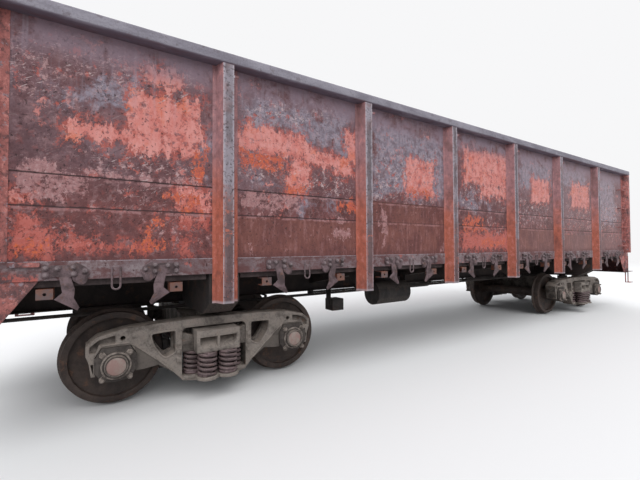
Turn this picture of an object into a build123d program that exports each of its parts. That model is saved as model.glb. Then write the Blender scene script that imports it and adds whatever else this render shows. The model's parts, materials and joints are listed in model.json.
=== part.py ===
"""Four-axle open wagon with a flat floor of fourteen drop hatches, on two three-piece bogies.

Millimetres, X along the wagon, Y across it, Z up. The origin is in the middle of the wagon,
under the lowest point of the wheel flanges. Most of what is written for one side or one end
is turned half a turn about Z for the other, because the real wagon repeats in that way.
"""

import os
from math import acos, atan2, cos, degrees, pi, sin, tan
from build123d import *

os.makedirs("parts", exist_ok=True)

# Running gear
FLANGE_H = 28  # wheel flange below the rail top
WHEEL_R = 443  # worn tread
WHEEL_W = 130
BACK_TO_BACK = 1440  # between the inner faces of one axle's wheels
WHEELBASE = 1850
JOURNAL_R = 65
JOURNAL_GAP = 0.3
AXLE_LENGTH = 2294
FRAME_CENTRES = 2036  # between the middles of a bogie's two side frames
PIVOT_Z = 799  # where the body rests on the bogie

# Body
TOP_Z = 3477
CHORD_H = 110
CHORD_W = 130
SEAT_Z = 1388  # underside of the ledge that the hatches shut against
WALL_Y = 1444  # outer face of the side sheet
WALL_T = 5
POST_DEPTH = 118
POST_BASE_W = 256
POST_FACE_W = 110
POST_WALL = 8
POST_BOTTOM_Z = 1010
SILL_BOTTOM_Z = 1300
SILL_TOP_Z = 1452
SILL_T = 12
BAND_LOW_Z = 1887
BAND_HIGH_Z = 2147
STEP = 3  # how far the sheet steps in and out at the band

# Hatches
HATCH_PITCH = 1690
HATCH_GAP = 5
CROSS_HALF = 55  # half the length of a cross member
CROSS_GAP = 20  # from a cross member to the hatch beside it
BOLSTER_HALF = 150
BOLSTER_GAP = 25
HINGE_Y = 78
HINGE_Z = 1345
HINGE_PIN_R = 12
HINGE_RUN = 0.1
HINGE_SIDES = 12
HATCH_INNER_Y = HINGE_Y  # so that the lid's edge doesn't rise as it swings down
HATCH_OUTER_Y = 1400
SHEET_T = 6
ARM_X = 488  # lock arm from the hatch's middle

# Along the wagon, from the middle outwards
CORNER_STEP = 65  # from a corner post's inner edge to the end wall
END_RIB_D = 80
END_SHELF = 256  # from the end wall to the end beam's face
COUPLER_REACH = 594  # from the end beam's face to the coupling face

AXLE_Z = FLANGE_H + WHEEL_R
HATCH_L = HATCH_PITCH - 2 * (CROSS_HALF + CROSS_GAP)
BEAM_GAP = BOLSTER_HALF + BOLSTER_GAP  # from a bolster's middle to the next hatch
BOGIE_X = 2 * HATCH_PITCH + HATCH_L / 2 + BEAM_GAP
END_HATCH_X = BOGIE_X + BEAM_GAP + HATCH_L / 2
CORNER_X = END_HATCH_X + HATCH_L / 2 + HATCH_GAP  # inner edge of the corner post
END_WALL_X = CORNER_X + CORNER_STEP
CORNER_END_X = END_WALL_X + END_RIB_D
END_SHEET_X = END_WALL_X + END_SHELF
COUPLER_X = END_SHEET_X + COUPLER_REACH
FRAME_Y = FRAME_CENTRES / 2
WHEEL_IN_Y = BACK_TO_BACK / 2
CHORD_BOTTOM_Z = TOP_Z - CHORD_H
HATCH_TOP_Z = SEAT_Z - HATCH_GAP
SIDE_POSTS_X = [-BOGIE_X] + [i * HATCH_PITCH for i in (-1.5, -0.5, 0.5, 1.5)] + [BOGIE_X]
HATCHES_X = [-END_HATCH_X] + [i * HATCH_PITCH for i in range(-2, 3)] + [END_HATCH_X]
HALF_TURN = Rot(0, 0, 180)


ARC_FLATS = 3  # short flats that make up one rounded corner


def eased(points, radius):
    """The outline with each corner turned into short flats along an arc of that radius."""
    outline = []
    for before, corner, after in zip(points[-1:] + points[:-1], points, points[1:] + points[:1]):
        here = Vector(*corner)
        back = (Vector(*before) - here).normalized()
        ahead = (Vector(*after) - here).normalized()
        half = acos(back.dot(ahead)) / 2
        middle = here + (back + ahead).normalized() * (radius / sin(half))
        first = here + back * (radius / tan(half)) - middle
        last = here + ahead * (radius / tan(half)) - middle
        swing = pi - 2 * half
        for step in range(ARC_FLATS + 1):
            share = step / ARC_FLATS
            point = middle + (first * sin(swing * (1 - share)) + last * sin(swing * share)) * (1 / sin(swing))
            outline.append((point.X, point.Y))
    return outline


def across(points, y0, y1, radius=0):
    """Outline in X and Z, solid from y0 to y1, its corners eased by a radius."""
    outline = eased(points, radius) if radius else points
    return Pos(0, y1, 0) * extrude(Plane.XZ * make_face(Polyline(*outline, close=True)), y1 - y0)


def along(points, x0, x1):
    """Outline in Y and Z, solid from x0 to x1."""
    face = make_face(Polyline(*points, close=True))
    return Pos(x0, 0, 0) * extrude(Plane.YZ * face, x1 - x0)


def upward(points, z0, z1):
    """Outline in X and Y, solid from z0 to z1."""
    return Pos(0, 0, z0) * extrude(make_face(Polyline(*points, close=True)), z1 - z0)


def block(x0, x1, y0, y1, z0, z1):
    middle = Pos((x0 + x1) / 2, (y0 + y1) / 2, (z0 + z1) / 2)
    return middle * Box(abs(x1 - x0), abs(y1 - y0), abs(z1 - z0))


def rod(start, end, radius):
    line = Vector(*end) - Vector(*start)
    middle = (Vector(*start) + Vector(*end)) * 0.5
    return Plane(origin=middle, z_dir=line) * Cylinder(radius, line.length)


def flat_bar(start, end, radius, sides=8, across_flats=False):
    """Thin bar or eye with flat sides; the radius is to its corners, or else to its flats."""
    line = Vector(*end) - Vector(*start)
    section = RegularPolygon(radius, sides, major_radius=not across_flats)
    return extrude(Plane(origin=Vector(*start), z_dir=line) * section, line.length)


def both_ends(shape):
    return [shape, HALF_TURN * shape]


def four_corners(shape):
    """From the +X, -Y corner to all four, mirrored so that each faces outwards."""
    other = mirror(shape, Plane.YZ)
    return both_ends(shape) + both_ends(other)


def save(name, shapes):
    solids = []
    for shape in shapes if isinstance(shapes, list) else [shapes]:
        solids += shape.solids()
    export_step(Compound(children=solids), f"parts/{name}.step")


# The frame under the floor

SILL_WEB_Y = 163  # inner face of a centre sill web
SILL_WEB_T = 12
SILL_LOW_Z = 890
SILL_HIGH_Z = 1200
SILL_FOOT_Y = 255
SPINE_HALF = 50  # half the width of the upper joist's flanges
COVER_HALF = 85  # half the width of the floor strip over the joist
COVER_T = 8
FLANGE_T = 12
LEDGE_T = 10
LEDGE_IN_Y = 1352
ARM_KNEE = 250  # from the wall to where a cross member's underside drops


def centre_sill():
    """Two Z bars side by side under a joist that carries the hatch hinges."""
    web_out = SILL_WEB_Y + SILL_WEB_T
    half = [
        (COVER_HALF, SEAT_Z + COVER_T),
        (COVER_HALF, SEAT_Z),
        (SPINE_HALF, SEAT_Z),
        (SPINE_HALF, SEAT_Z - FLANGE_T),
        (FLANGE_T / 2, SEAT_Z - FLANGE_T),
        (FLANGE_T / 2, SILL_HIGH_Z + FLANGE_T),
        (web_out, SILL_HIGH_Z + FLANGE_T),
        (web_out, SILL_LOW_Z + FLANGE_T),
        (SILL_FOOT_Y, SILL_LOW_Z + FLANGE_T),
        (SILL_FOOT_Y, SILL_LOW_Z),
        (SILL_WEB_Y, SILL_LOW_Z),
        (SILL_WEB_Y, SILL_HIGH_Z),
    ]
    outline = half + [(-y, z) for y, z in reversed(half)]
    reach = END_SHEET_X - FLANGE_T
    return along(outline, -reach, reach)


def floor_beam(half_w, half_flange, low_z, side_low_z):
    """One cross member: two arms and an end plate each, from the centre sill to the side posts."""
    web_out = SILL_WEB_Y + SILL_WEB_T
    knee = WALL_Y - ARM_KNEE
    arm = [
        (web_out, low_z),
        (web_out, SILL_HIGH_Z + FLANGE_T),
        (SPINE_HALF, SILL_HIGH_Z + FLANGE_T),
        (SPINE_HALF, SEAT_Z),
        (WALL_Y - SILL_T, SEAT_Z),
        (WALL_Y - SILL_T, POST_BOTTOM_Z),
        (knee, side_low_z),
    ]
    arms = []
    for side in (-1, 1):
        web = along([(side * y, z) for y, z in arm], -half_w, half_w)
        y0, y1 = side * (WALL_Y - SILL_T), side * WALL_Y
        cap = block(-half_flange, half_flange, side * COVER_HALF, side * LEDGE_IN_Y, SEAT_Z, SEAT_Z + LEDGE_T)
        end = block(-POST_BASE_W / 2, POST_BASE_W / 2, y0, y1, POST_BOTTOM_Z, SEAT_Z)
        arms.append(web + cap + end)
    return arms


LID_LAP = 30  # how far a beam's cap reaches over the hatch beside it
BODY_PLATE_R = 152
PIVOT_GAP = 0.3
BEARING_Y = 762
BEARING_TOP_Z = 840
BEARING_GAP = 8
BEARING_X = 100
BEARING_W = 70
BEARING_SINK = 30  # how far a side bearing's block stands inside the beam
BOLSTER_LOW_Z = 835
BOLSTER_KNEE_Z = 875
CROSS_LOW_Z = 1000
CROSS_KNEE_Z = 1180
PIPE_NOTCH = 28
PIPE_R = 20
PIPE_Y = SILL_FOOT_Y + 40
PIPE_Z = SILL_LOW_Z - 50


def bolster_beam():
    """The deep beam over a bogie, with its centre plate and two side bearings."""
    arms = floor_beam(BOLSTER_HALF, BEAM_GAP + LID_LAP, BOLSTER_LOW_Z, BOLSTER_KNEE_Z)
    plate = rod((0, 0, PIVOT_Z + PIVOT_GAP), (0, 0, SILL_LOW_Z), BODY_PLATE_R)
    for side in (-1, 1):
        bearing = block(
            -BEARING_X,
            BEARING_X,
            side * (BEARING_Y - BEARING_W),
            side * (BEARING_Y + BEARING_W),
            BEARING_TOP_Z + BEARING_GAP,
            SILL_LOW_Z + BEARING_SINK,
        )
        arms[0 if side < 0 else 1] += bearing
    x, y = BOLSTER_HALF, SILL_FOOT_Y
    foot = block(-x, x, -y, y, BOLSTER_LOW_Z, SILL_LOW_Z)
    beam = arms[0] + arms[1] + foot + plate
    sill_feet = block(-x, x, -y, y, SILL_LOW_Z, SILL_LOW_Z + FLANGE_T)
    notch = block(-BEAM_GAP, BEAM_GAP, -PIPE_Y - PIPE_NOTCH, -PIPE_Y + PIPE_NOTCH, 0, PIPE_Z + PIPE_NOTCH)
    return beam - sill_feet - notch - HALF_TURN * notch


save("centre_sill", centre_sill())
save("bolster_beams", [Pos(x, 0, 0) * bolster_beam() for x in (-BOGIE_X, BOGIE_X)])
cross_arms = floor_beam(CROSS_HALF, CROSS_HALF + CROSS_GAP + LID_LAP, CROSS_LOW_Z, CROSS_KNEE_Z)
save("cross_beams", [Pos(x, 0, 0) * arm for x in SIDE_POSTS_X[1:-1] for arm in cross_arms])

END_BEAM_LOW_Z = 870
COUPLER_Z = 1053
SHANK_W = 130
SHANK_H = 176
DRAFT_HALF_W = 175
DRAFT_LOW_Z = COUPLER_Z - SHANK_H / 2  # the shank rests on the striker's lower edge
DRAFT_HIGH_Z = 1176
STRIKER_X = 60
STRIKER_EDGE = 60


def end_beam():
    """Folded end beam with the opening and the raised frame that the coupler passes through."""
    x1 = END_SHEET_X
    x0 = x1 - FLANGE_T
    section = [
        (x1, END_BEAM_LOW_Z),
        (x1, SEAT_Z),
        (END_WALL_X, SEAT_Z),
        (END_WALL_X, SEAT_Z - FLANGE_T),
        (x0, SEAT_Z - FLANGE_T),
        (x0, END_BEAM_LOW_Z + FLANGE_T),
        (CORNER_END_X, END_BEAM_LOW_Z + FLANGE_T),
        (CORNER_END_X, END_BEAM_LOW_Z),
    ]
    beam = across(section, -WALL_Y + SILL_T, WALL_Y - SILL_T)
    notch = block(0, x0, -SILL_FOOT_Y, SILL_FOOT_Y, 0, SEAT_Z - FLANGE_T)
    top_notch = block(0, x0, -COVER_HALF, COVER_HALF, SEAT_Z - FLANGE_T, SEAT_Z)
    frame_half = DRAFT_HALF_W + STRIKER_EDGE
    low_z, high_z = DRAFT_LOW_Z - STRIKER_EDGE, DRAFT_HIGH_Z + STRIKER_EDGE
    frame = block(x1, x1 + STRIKER_X, -frame_half, frame_half, low_z, high_z)
    hole = block(x0, x1 + STRIKER_X, -DRAFT_HALF_W, DRAFT_HALF_W, DRAFT_LOW_Z, DRAFT_HIGH_Z)
    return beam - notch - top_notch + frame - hole


save("end_beams", both_ends(end_beam()))

# The walls


def side_wall():
    """Side sheet at -Y with the set-back band along it."""
    out = -WALL_Y
    band = out + STEP
    section = [
        (out, SEAT_Z + LEDGE_T),
        (out, BAND_LOW_Z),
        (band, BAND_LOW_Z),
        (band, BAND_HIGH_Z),
        (out, BAND_HIGH_Z),
        (out, CHORD_BOTTOM_Z),
        (out + WALL_T, CHORD_BOTTOM_Z),
        (out + WALL_T, BAND_HIGH_Z - WALL_T),
        (band + WALL_T, BAND_HIGH_Z - WALL_T),
        (band + WALL_T, BAND_LOW_Z + WALL_T),
        (out + WALL_T, BAND_LOW_Z + WALL_T),
        (out + WALL_T, SEAT_Z + LEDGE_T),
    ]
    return along(section, -CORNER_X, CORNER_X)


def hat_outline(base_half, face_half, depth, wall):
    """Hat section on the wall's outer face: half-widths at the wall and at the face, towards -Y."""
    lip = 32
    slope = (base_half - lip - face_half) / depth
    inner = base_half - lip - wall
    inner_face = face_half + slope * wall - wall
    half = [
        (base_half, 0),
        (base_half, wall),
        (base_half - lip, wall),
        (face_half, depth),
    ]
    hollow = [(inner, 0), (inner_face, depth - wall)]
    right = hollow[::-1] + half
    return [(x, -WALL_Y - d) for x, d in right] + [(-x, -WALL_Y - d) for x, d in reversed(right)]


PATCH_W = 84  # strengthening plate on a post's face
PATCH_T = 5
PATCH_R = 38
PATCH_LOW_Z = 1221
PATCH_HIGH_Z = 1695
LINE_HOOK_L = 45  # small hook for a cover's line, beside a post's face
LINE_HOOK_H = 28
LINE_HOOK_DROP = 131  # from the chord to the hook


def side_post(x):
    """Pressed post with the plate that strengthens it over the sill and the line hook at its top."""
    outline = hat_outline(POST_BASE_W / 2, POST_FACE_W / 2, POST_DEPTH, POST_WALL)
    post = upward(outline, POST_BOTTOM_Z, CHORD_BOTTOM_Z)
    face = -WALL_Y - POST_DEPTH
    r = PATCH_W / 2
    corners = [(-r, PATCH_LOW_Z), (r, PATCH_LOW_Z), (r, PATCH_HIGH_Z), (-r, PATCH_HIGH_Z)]
    patch = across(corners, face - PATCH_T, face, PATCH_R)
    tip = POST_FACE_W / 2 + LINE_HOOK_L
    low = CHORD_BOTTOM_Z - LINE_HOOK_DROP
    hook = block(0, tip, face, face + POST_WALL, low, low + LINE_HOOK_H)
    hook += block(tip - POST_WALL, tip, face - POST_WALL, face, low, low + LINE_HOOK_H)
    return Pos(x, 0, 0) * (post + patch + hook)


def corner_post():
    """Closed corner column at +X, -Y: hat flank towards the bay, square to the end."""
    face = WALL_Y + POST_DEPTH
    outline = [
        (CORNER_X, -WALL_Y),
        (CORNER_X + 38, -face),
        (CORNER_END_X, -face),
        (CORNER_END_X, -WALL_Y + 110),
        (END_WALL_X, -WALL_Y + 110),
        (END_WALL_X, -WALL_Y + WALL_T),
        (CORNER_X, -WALL_Y + WALL_T),
    ]
    return upward(outline, SEAT_Z, CHORD_BOTTOM_Z)


save("side_walls", both_ends(side_wall()))
save("side_posts", [turned for x in SIDE_POSTS_X for turned in both_ends(side_post(x))])
save("corner_posts", four_corners(corner_post()))


def side_chord():
    edge = 12
    y0 = -WALL_Y - POST_DEPTH - 5
    y1 = y0 + CHORD_W
    z0 = CHORD_BOTTOM_Z
    section = [
        (y0 + edge, z0),
        (y0, z0 + edge),
        (y0, TOP_Z - edge),
        (y0 + edge, TOP_Z),
        (y1, TOP_Z),
        (y1, z0),
    ]
    return along(section, -CORNER_END_X, CORNER_END_X)


CHORD_IN_Y = WALL_Y + POST_DEPTH + 5 - CHORD_W


def end_chord():
    edge = 12
    x1 = CORNER_END_X
    section = [
        (END_WALL_X - 25, CHORD_BOTTOM_Z),
        (END_WALL_X - 25, TOP_Z),
        (x1 - edge, TOP_Z),
        (x1, TOP_Z - edge),
        (x1, CHORD_BOTTOM_Z + edge),
        (x1 - edge, CHORD_BOTTOM_Z),
    ]
    return across(section, -CHORD_IN_Y, CHORD_IN_Y)


save("top_chords", both_ends(side_chord()))
save("end_chords", both_ends(end_chord()))

END_RIBS_Z = [1560, 2150, 2740]
END_STUDS_Y = [-480, 480]
END_RIB_H = 150
END_RIB_SINK = 10  # how far the ribs stay inside the corner posts' faces


def end_wall():
    """End sheet with three pressed ribs across it and two uprights, in one welded piece."""
    half = WALL_Y - 110
    reach = WALL_Y - WALL_T
    wall = block(END_WALL_X - WALL_T, END_WALL_X, -reach, reach, SEAT_Z + LEDGE_T, CHORD_BOTTOM_Z)
    for z in END_RIBS_Z:
        rib = [
            (END_WALL_X - 1, z - END_RIB_H / 2),
            (CORNER_END_X - END_RIB_SINK, z - END_RIB_H / 4),
            (CORNER_END_X - END_RIB_SINK, z + END_RIB_H / 4),
            (END_WALL_X - 1, z + END_RIB_H / 2),
        ]
        wall += across(rib, -half, half)
    for y in END_STUDS_Y:
        wall += block(END_WALL_X - 1, CORNER_END_X, y - 55, y + 55, SEAT_Z, CHORD_BOTTOM_Z)
    floor = block(CORNER_X, END_WALL_X, -LEDGE_IN_Y, LEDGE_IN_Y, SEAT_Z, SEAT_Z + LEDGE_T)
    return wall + floor - block(0, END_WALL_X, -COVER_HALF, COVER_HALF, SEAT_Z, SEAT_Z + COVER_T)


save("end_walls", both_ends(end_wall()))


def side_sill():
    """Angle under the -Y side sheet, between the posts, with the ledge that the hatches shut against."""
    out = -WALL_Y - SILL_T
    section = [
        (out, SILL_BOTTOM_Z),
        (out, SILL_TOP_Z),
        (-WALL_Y, SILL_TOP_Z),
        (-WALL_Y, SEAT_Z + LEDGE_T),
        (-LEDGE_IN_Y, SEAT_Z + LEDGE_T),
        (-LEDGE_IN_Y, SEAT_Z),
        (-WALL_Y, SEAT_Z),
        (-WALL_Y, SILL_BOTTOM_Z),
    ]
    half = POST_BASE_W / 2
    starts = [-CORNER_X] + [x + half for x in SIDE_POSTS_X]
    ends = [x - half for x in SIDE_POSTS_X] + [CORNER_X]
    return [along(section, x0, x1) for x0, x1 in zip(starts, ends)]


sill = side_sill()
save("side_sills", sill + [HALF_TURN * length for length in sill])


GUSSET_REACH = 250  # along the sill, from the corner post
GUSSET_FOOT = 10  # from the end wall to the slanting edge's lower end
PAD_X = 164  # jacking pad's middle, from the corner post
PAD_HALF = 100
PAD_H = 36
PAD_R = 16
PAD_LOW_Z = 1409
PAD_T = 22


def corner_gusset():
    """Plate at +X, -Y that ties the sill to the end beam."""
    outline = [
        (CORNER_X - GUSSET_REACH, SILL_BOTTOM_Z),
        (CORNER_X, SILL_BOTTOM_Z),
        (CORNER_X, SEAT_Z),
        (END_SHEET_X, SEAT_Z),
        (END_SHEET_X, END_BEAM_LOW_Z),
        (END_WALL_X - GUSSET_FOOT, END_BEAM_LOW_Z),
    ]
    return across(outline, -WALL_Y, -WALL_Y + SILL_T)


def corner_pad():
    """Flattened oval pad on the sill beside the corner post at +X, -Y."""
    out = -WALL_Y - SILL_T
    x0, x1 = CORNER_X - PAD_X - PAD_HALF, CORNER_X - PAD_X + PAD_HALF
    corners = [(x0, PAD_LOW_Z), (x1, PAD_LOW_Z), (x1, PAD_LOW_Z + PAD_H), (x0, PAD_LOW_Z + PAD_H)]
    return across(corners, out - PAD_T, out, PAD_R)


save("corner_gussets", four_corners(corner_gusset()) + four_corners(corner_pad()))

# Hatches, their hinges and locks

HINGE_SETBACK = 290  # from a hatch's end to its hinge
HINGES_X = [HINGE_SETBACK - HATCH_L / 2, HATCH_L / 2 - HINGE_SETBACK]
LUG_T = 14
LUG_NOSE = 10
LUG_TAIL = 60
LUG_DROP = 25
LUG_SIDE_GAP = 1
EDGE_LOW_Z = 1245
ARM_LOW_Z = 1150
ARM_HIGH_Z = 1232
ARM_W = 110
ARM_T = 8
ARM_HOLE_R = 13
ARM_IN_Y = 1320  # so short that the lids over the bogies clear the side frames
ARM_OUT_Y = 1438
NECK_T = 20
RIBS_Y = [380, 720, 1060]
RIB_W = 120
RIB_DEPTH = 50
EDGE_T = 8  # the folded outer edge and the flanges at the lid's ends
EDGE_TURN = 50  # width of the outer edge's inward flange
FLANGE_IN_Y = 120  # an end flange starts here, deepens at FLANGE_KNEE_Y and is full at FLANGE_FULL
FLANGE_KNEE_Y = 900
FLANGE_IN_H = 30
FLANGE_KNEE_H = 60
FLANGE_FULL = 90


def hatch(side):
    """One hatch about its own middle; side is -1 for the -Y row and 1 for the +Y row."""
    low = HATCH_TOP_Z - SHEET_T
    section = [(HATCH_INNER_Y, HATCH_TOP_Z), (HATCH_INNER_Y, low)]
    for y in RIBS_Y:
        section += [
            (y - RIB_W / 2, low),
            (y - RIB_W / 4, low - RIB_DEPTH),
            (y + RIB_W / 4, low - RIB_DEPTH),
            (y + RIB_W / 2, low),
        ]
    section += [
        (HATCH_OUTER_Y - EDGE_T, low),
        (HATCH_OUTER_Y - EDGE_T, EDGE_LOW_Z + EDGE_T),
        (HATCH_OUTER_Y - EDGE_TURN, EDGE_LOW_Z + EDGE_T),
        (HATCH_OUTER_Y - EDGE_TURN, EDGE_LOW_Z),
        (HATCH_OUTER_Y, EDGE_LOW_Z),
        (HATCH_OUTER_Y, HATCH_TOP_Z),
    ]
    half = HATCH_L / 2
    lid = along([(side * y, z) for y, z in section], -half, half)
    for end in (-1, 1):
        flange = [
            (side * FLANGE_IN_Y, low),
            (side * (HATCH_OUTER_Y - EDGE_T), low),
            (side * (HATCH_OUTER_Y - EDGE_T), EDGE_LOW_Z),
            (side * (HATCH_OUTER_Y - FLANGE_FULL), EDGE_LOW_Z),
            (side * FLANGE_KNEE_Y, low - FLANGE_KNEE_H),
            (side * FLANGE_IN_Y, low - FLANGE_IN_H),
        ]
        x0, x1 = sorted((end * half, end * (half - EDGE_T)))
        lid += along(flange, x0, x1)
        arm = block(
            end * (ARM_X - ARM_W / 2),
            end * (ARM_X + ARM_W / 2),
            side * ARM_IN_Y,
            side * ARM_OUT_Y,
            ARM_LOW_Z,
            ARM_HIGH_Z,
        )
        arm -= block(
            end * (ARM_X - ARM_W / 2 + ARM_T),
            end * (ARM_X + ARM_W / 2),
            side * ARM_IN_Y,
            side * (ARM_OUT_Y - ARM_T),
            ARM_LOW_Z + ARM_T,
            ARM_HIGH_Z - ARM_T,
        )
        hole_x, hole_z = end * ARM_X, (ARM_LOW_Z + ARM_HIGH_Z) / 2
        start = (hole_x, side * (ARM_OUT_Y - 2 * ARM_T), hole_z)
        arm -= flat_bar(start, (hole_x, side * (ARM_OUT_Y + ARM_T), hole_z), ARM_HOLE_R)
        neck = block(
            end * (ARM_X - ARM_W / 2),
            end * (ARM_X + ARM_W / 2),
            side * ARM_IN_Y,
            side * (ARM_IN_Y + NECK_T),
            ARM_HIGH_Z,
            low,
        )
        lid += arm + neck
    for x in HINGES_X:
        y0, y1 = side * (HINGE_Y - LUG_NOSE), side * (HINGE_Y + LUG_TAIL)
        lug = block(x - LUG_T / 2, x + LUG_T / 2, y0, y1, HINGE_Z - LUG_DROP, low)
        start = (x - LUG_T, side * HINGE_Y, HINGE_Z)
        end = (x + LUG_T, side * HINGE_Y, HINGE_Z)
        lid = lid + lug - flat_bar(start, end, HINGE_PIN_R + HINGE_RUN, across_flats=True)
    return lid


HINGE_EYE = 16  # the bracket's metal round its pin
HINGE_TIP = 6  # what the pin stands out of the lug


def hatch_hinge(side):
    """The fixed half of a hatch's hinges: a bracket on the joist and its pin, twice."""
    pieces = []
    for x in HINGES_X:
        face = x - LUG_T / 2 - LUG_SIDE_GAP
        y0, y1 = side * FLANGE_T / 2, side * (HINGE_Y + HINGE_EYE)
        bracket = block(face - LUG_T, face, y0, y1, HINGE_Z - HINGE_EYE, HINGE_Z + HINGE_EYE)
        tip = (x + LUG_T / 2 + HINGE_TIP, side * HINGE_Y, HINGE_Z)
        pin = flat_bar((face, side * HINGE_Y, HINGE_Z), tip, HINGE_PIN_R, HINGE_SIDES)
        pieces.append(bracket + pin)
    return pieces


for row, side in (("left", -1), ("right", 1)):
    for number, x in enumerate(HATCHES_X, 1):
        save(f"hatch_{row}_{number}", Pos(x, 0, 0) * hatch(side))
hinges = hatch_hinge(-1) + hatch_hinge(1)
save("hatch_hinges", [Pos(x, 0, 0) * piece for x in HATCHES_X for piece in hinges])

LOCK_T = 14
HOOK_PROUD = 2
SECTOR_R = 40  # the round catch beside the hook, as a prism
SECTOR_SIDES = 14
SECTOR_T = 10
SECTOR_Z = 1300
SECTOR_SETBACK = 243


def hatch_lock(end):
    """Bolted plate with its round sector and the pointed hook below; end is -1 or 1 along the hatch.

    The points are x from the lock arm's middle towards the hatch's end, and height.
    """
    plate = [
        (17, 1327),
        (17, 1419),
        (-158, 1419),
        (-208, 1440),
        (-273, 1400),
        (-298, 1340),
        (-273, 1275),
        (-233, 1262),
        (-188, 1290),
        (-178, 1327),
    ]
    hook = [
        (-93, 1327),
        (-168, 1327),
        (-198, 1225),
        (-193, 1150),
        (-230, 1075),
        (-216, 1052),
        (-63, 1150),
        (-116, 1200),
    ]
    out = -WALL_Y - SILL_T
    piece = across([(end * (ARM_X + x), z) for x, z in plate], out - LOCK_T, out)
    piece += across([(end * (ARM_X + x), z) for x, z in hook], out - LOCK_T - HOOK_PROUD, out)
    x = end * (ARM_X - SECTOR_SETBACK)
    tip = (x, out - LOCK_T - SECTOR_T, SECTOR_Z)
    return piece + flat_bar(tip, (x, out, SECTOR_Z), SECTOR_R, SECTOR_SIDES)


locks = [Pos(x, 0, 0) * hatch_lock(end) for x in HATCHES_X for end in (-1, 1)]
save("hatch_locks", locks + [HALF_TURN * lock for lock in locks])

LOOP_W = 80
LOOP_BAR = 14
LOOP_LOW_Z = 1195
LOOP_HIGH_Z = 1352


def lashing_loop():
    """U bar welded to the sill's face."""
    out = -WALL_Y - SILL_T
    w = LOOP_W / 2
    loop = block(-w, w, out - LOOP_BAR, out, LOOP_LOW_Z, LOOP_HIGH_Z)
    return loop - block(-w + LOOP_BAR, w - LOOP_BAR, out - LOOP_BAR, out, LOOP_LOW_Z + LOOP_BAR, LOOP_HIGH_Z)


loops = [Pos(x, 0, 0) * leg for x in HATCHES_X for leg in [lashing_loop()]]
save("lashing_loops", loops + [HALF_TURN * loop for loop in loops])

# Ladders, steps and couplers

RUNG_PITCH = 470
RUNGS = 4
RUNG_LOW_Z = 1548
RUNG_T = 22
RUNG_X = (CORNER_X - 345, CORNER_X - 15)
RUNG_OUT = 90


def rungs():
    """Rungs of bent bar on the right-hand end of the -Y wall, one above the other."""
    x0, x1 = RUNG_X
    pieces = []
    for i in range(RUNGS):
        z = RUNG_LOW_Z + i * RUNG_PITCH
        seat = -WALL_Y + STEP if BAND_LOW_Z < z < BAND_HIGH_Z else -WALL_Y
        staple = block(x0, x1, -WALL_Y - RUNG_OUT, seat, z, z + RUNG_T)
        pieces.append(staple - block(x0 + RUNG_T, x1 - RUNG_T, -WALL_Y - RUNG_OUT + RUNG_T, 0, 0, TOP_Z))
    return pieces


STEP_X = (END_WALL_X + 20, END_SHEET_X - 26)
STEP_LOW_Z = 620
STEP_PITCH = 280
STEP_T = 12
STEP_STRAP_W = 40
STEP_TREAD_W = 90


def corner_step():
    """Stirrup step under the end of the sill, below the ladder."""
    y1 = -WALL_Y
    y0 = y1 - STEP_T
    x0, x1 = STEP_X
    piece = block(x0, x0 + STEP_STRAP_W, y0, y1, STEP_LOW_Z, SILL_BOTTOM_Z)
    piece += block(x1 - STEP_STRAP_W, x1, y0, y1, STEP_LOW_Z, SILL_BOTTOM_Z)
    for z in (STEP_LOW_Z, STEP_LOW_Z + STEP_PITCH):
        piece += block(x0, x1, y0 - STEP_TREAD_W, y1, z, z + STEP_T)
    return piece


ladder = rungs()
save("ladders", ladder + [HALF_TURN * rung for rung in ladder])
save("corner_steps", both_ends(corner_step()))

HEAD_HALF_H = 140
HEAD_BACK = 420  # from the coupling face to the shank
YOKE_L = 640
YOKE_X = END_SHEET_X - YOKE_L - 426  # behind the end beam's face
YOKE_H = 220


def coupler():
    """Claw coupler: the big tooth, the small tooth and the shank behind them."""
    head = [
        (-420, -70),
        (-290, -150),
        (-230, -215),
        (-60, -215),
        (55, -190),
        (85, -130),
        (20, -95),
        (-55, -75),
        (-75, 25),
        (-20, 75),
        (65, 85),
        (95, 140),
        (70, 205),
        (-40, 215),
        (-230, 215),
        (-290, 150),
        (-420, 70),
    ]
    claw = upward([(COUPLER_X + x, y) for x, y in head], COUPLER_Z - HEAD_HALF_H, COUPLER_Z + HEAD_HALF_H)
    half_w = SHANK_W / 2
    half_h = SHANK_H / 2
    x0, x1 = YOKE_X + YOKE_L, COUPLER_X - HEAD_BACK + 20
    return claw + block(x0, x1, -half_w, half_w, COUPLER_Z - half_h, COUPLER_Z + half_h)


def draft_gear():
    """Cushioning block that fills the sill behind the coupler's shank."""
    half_h = YOKE_H / 2
    return block(YOKE_X, YOKE_X + YOKE_L, -SILL_WEB_Y, SILL_WEB_Y, COUPLER_Z - half_h, COUPLER_Z + half_h)


save("couplers", both_ends(coupler()) + both_ends(draft_gear()))


UNCOUPLER_X = END_SHEET_X + 60
UNCOUPLER_Z = 1180
UNCOUPLER_R = 12
UNCOUPLER_Y = (-1380, -330)
HANDLE_LENGTH = 220
ROD_BRACKET_Y = 85  # from an end of the rod to its bracket


def uncoupling_rod():
    """Bar with a hanging handle, in brackets across the -Y half of the end beam."""
    x, z, r = UNCOUPLER_X, UNCOUPLER_Z, UNCOUPLER_R
    y0, y1 = UNCOUPLER_Y
    piece = flat_bar((x, y0, z), (x, y1, z), r)
    piece += block(x - r / 2, x + r / 2, y0, y0 + r, z - HANDLE_LENGTH, z)
    piece += block(x, x + 10 * r, y1 - r, y1, z - r / 2, z + r / 2)
    for y in (y0 + ROD_BRACKET_Y, y1 - ROD_BRACKET_Y):
        piece += block(END_SHEET_X, x + 2 * r, y - r / 2, y + r / 2, z - 2 * r, z + 2 * r)
    return piece


save("uncoupling_rods", both_ends(uncoupling_rod()))

# Brake gear on the body

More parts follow.
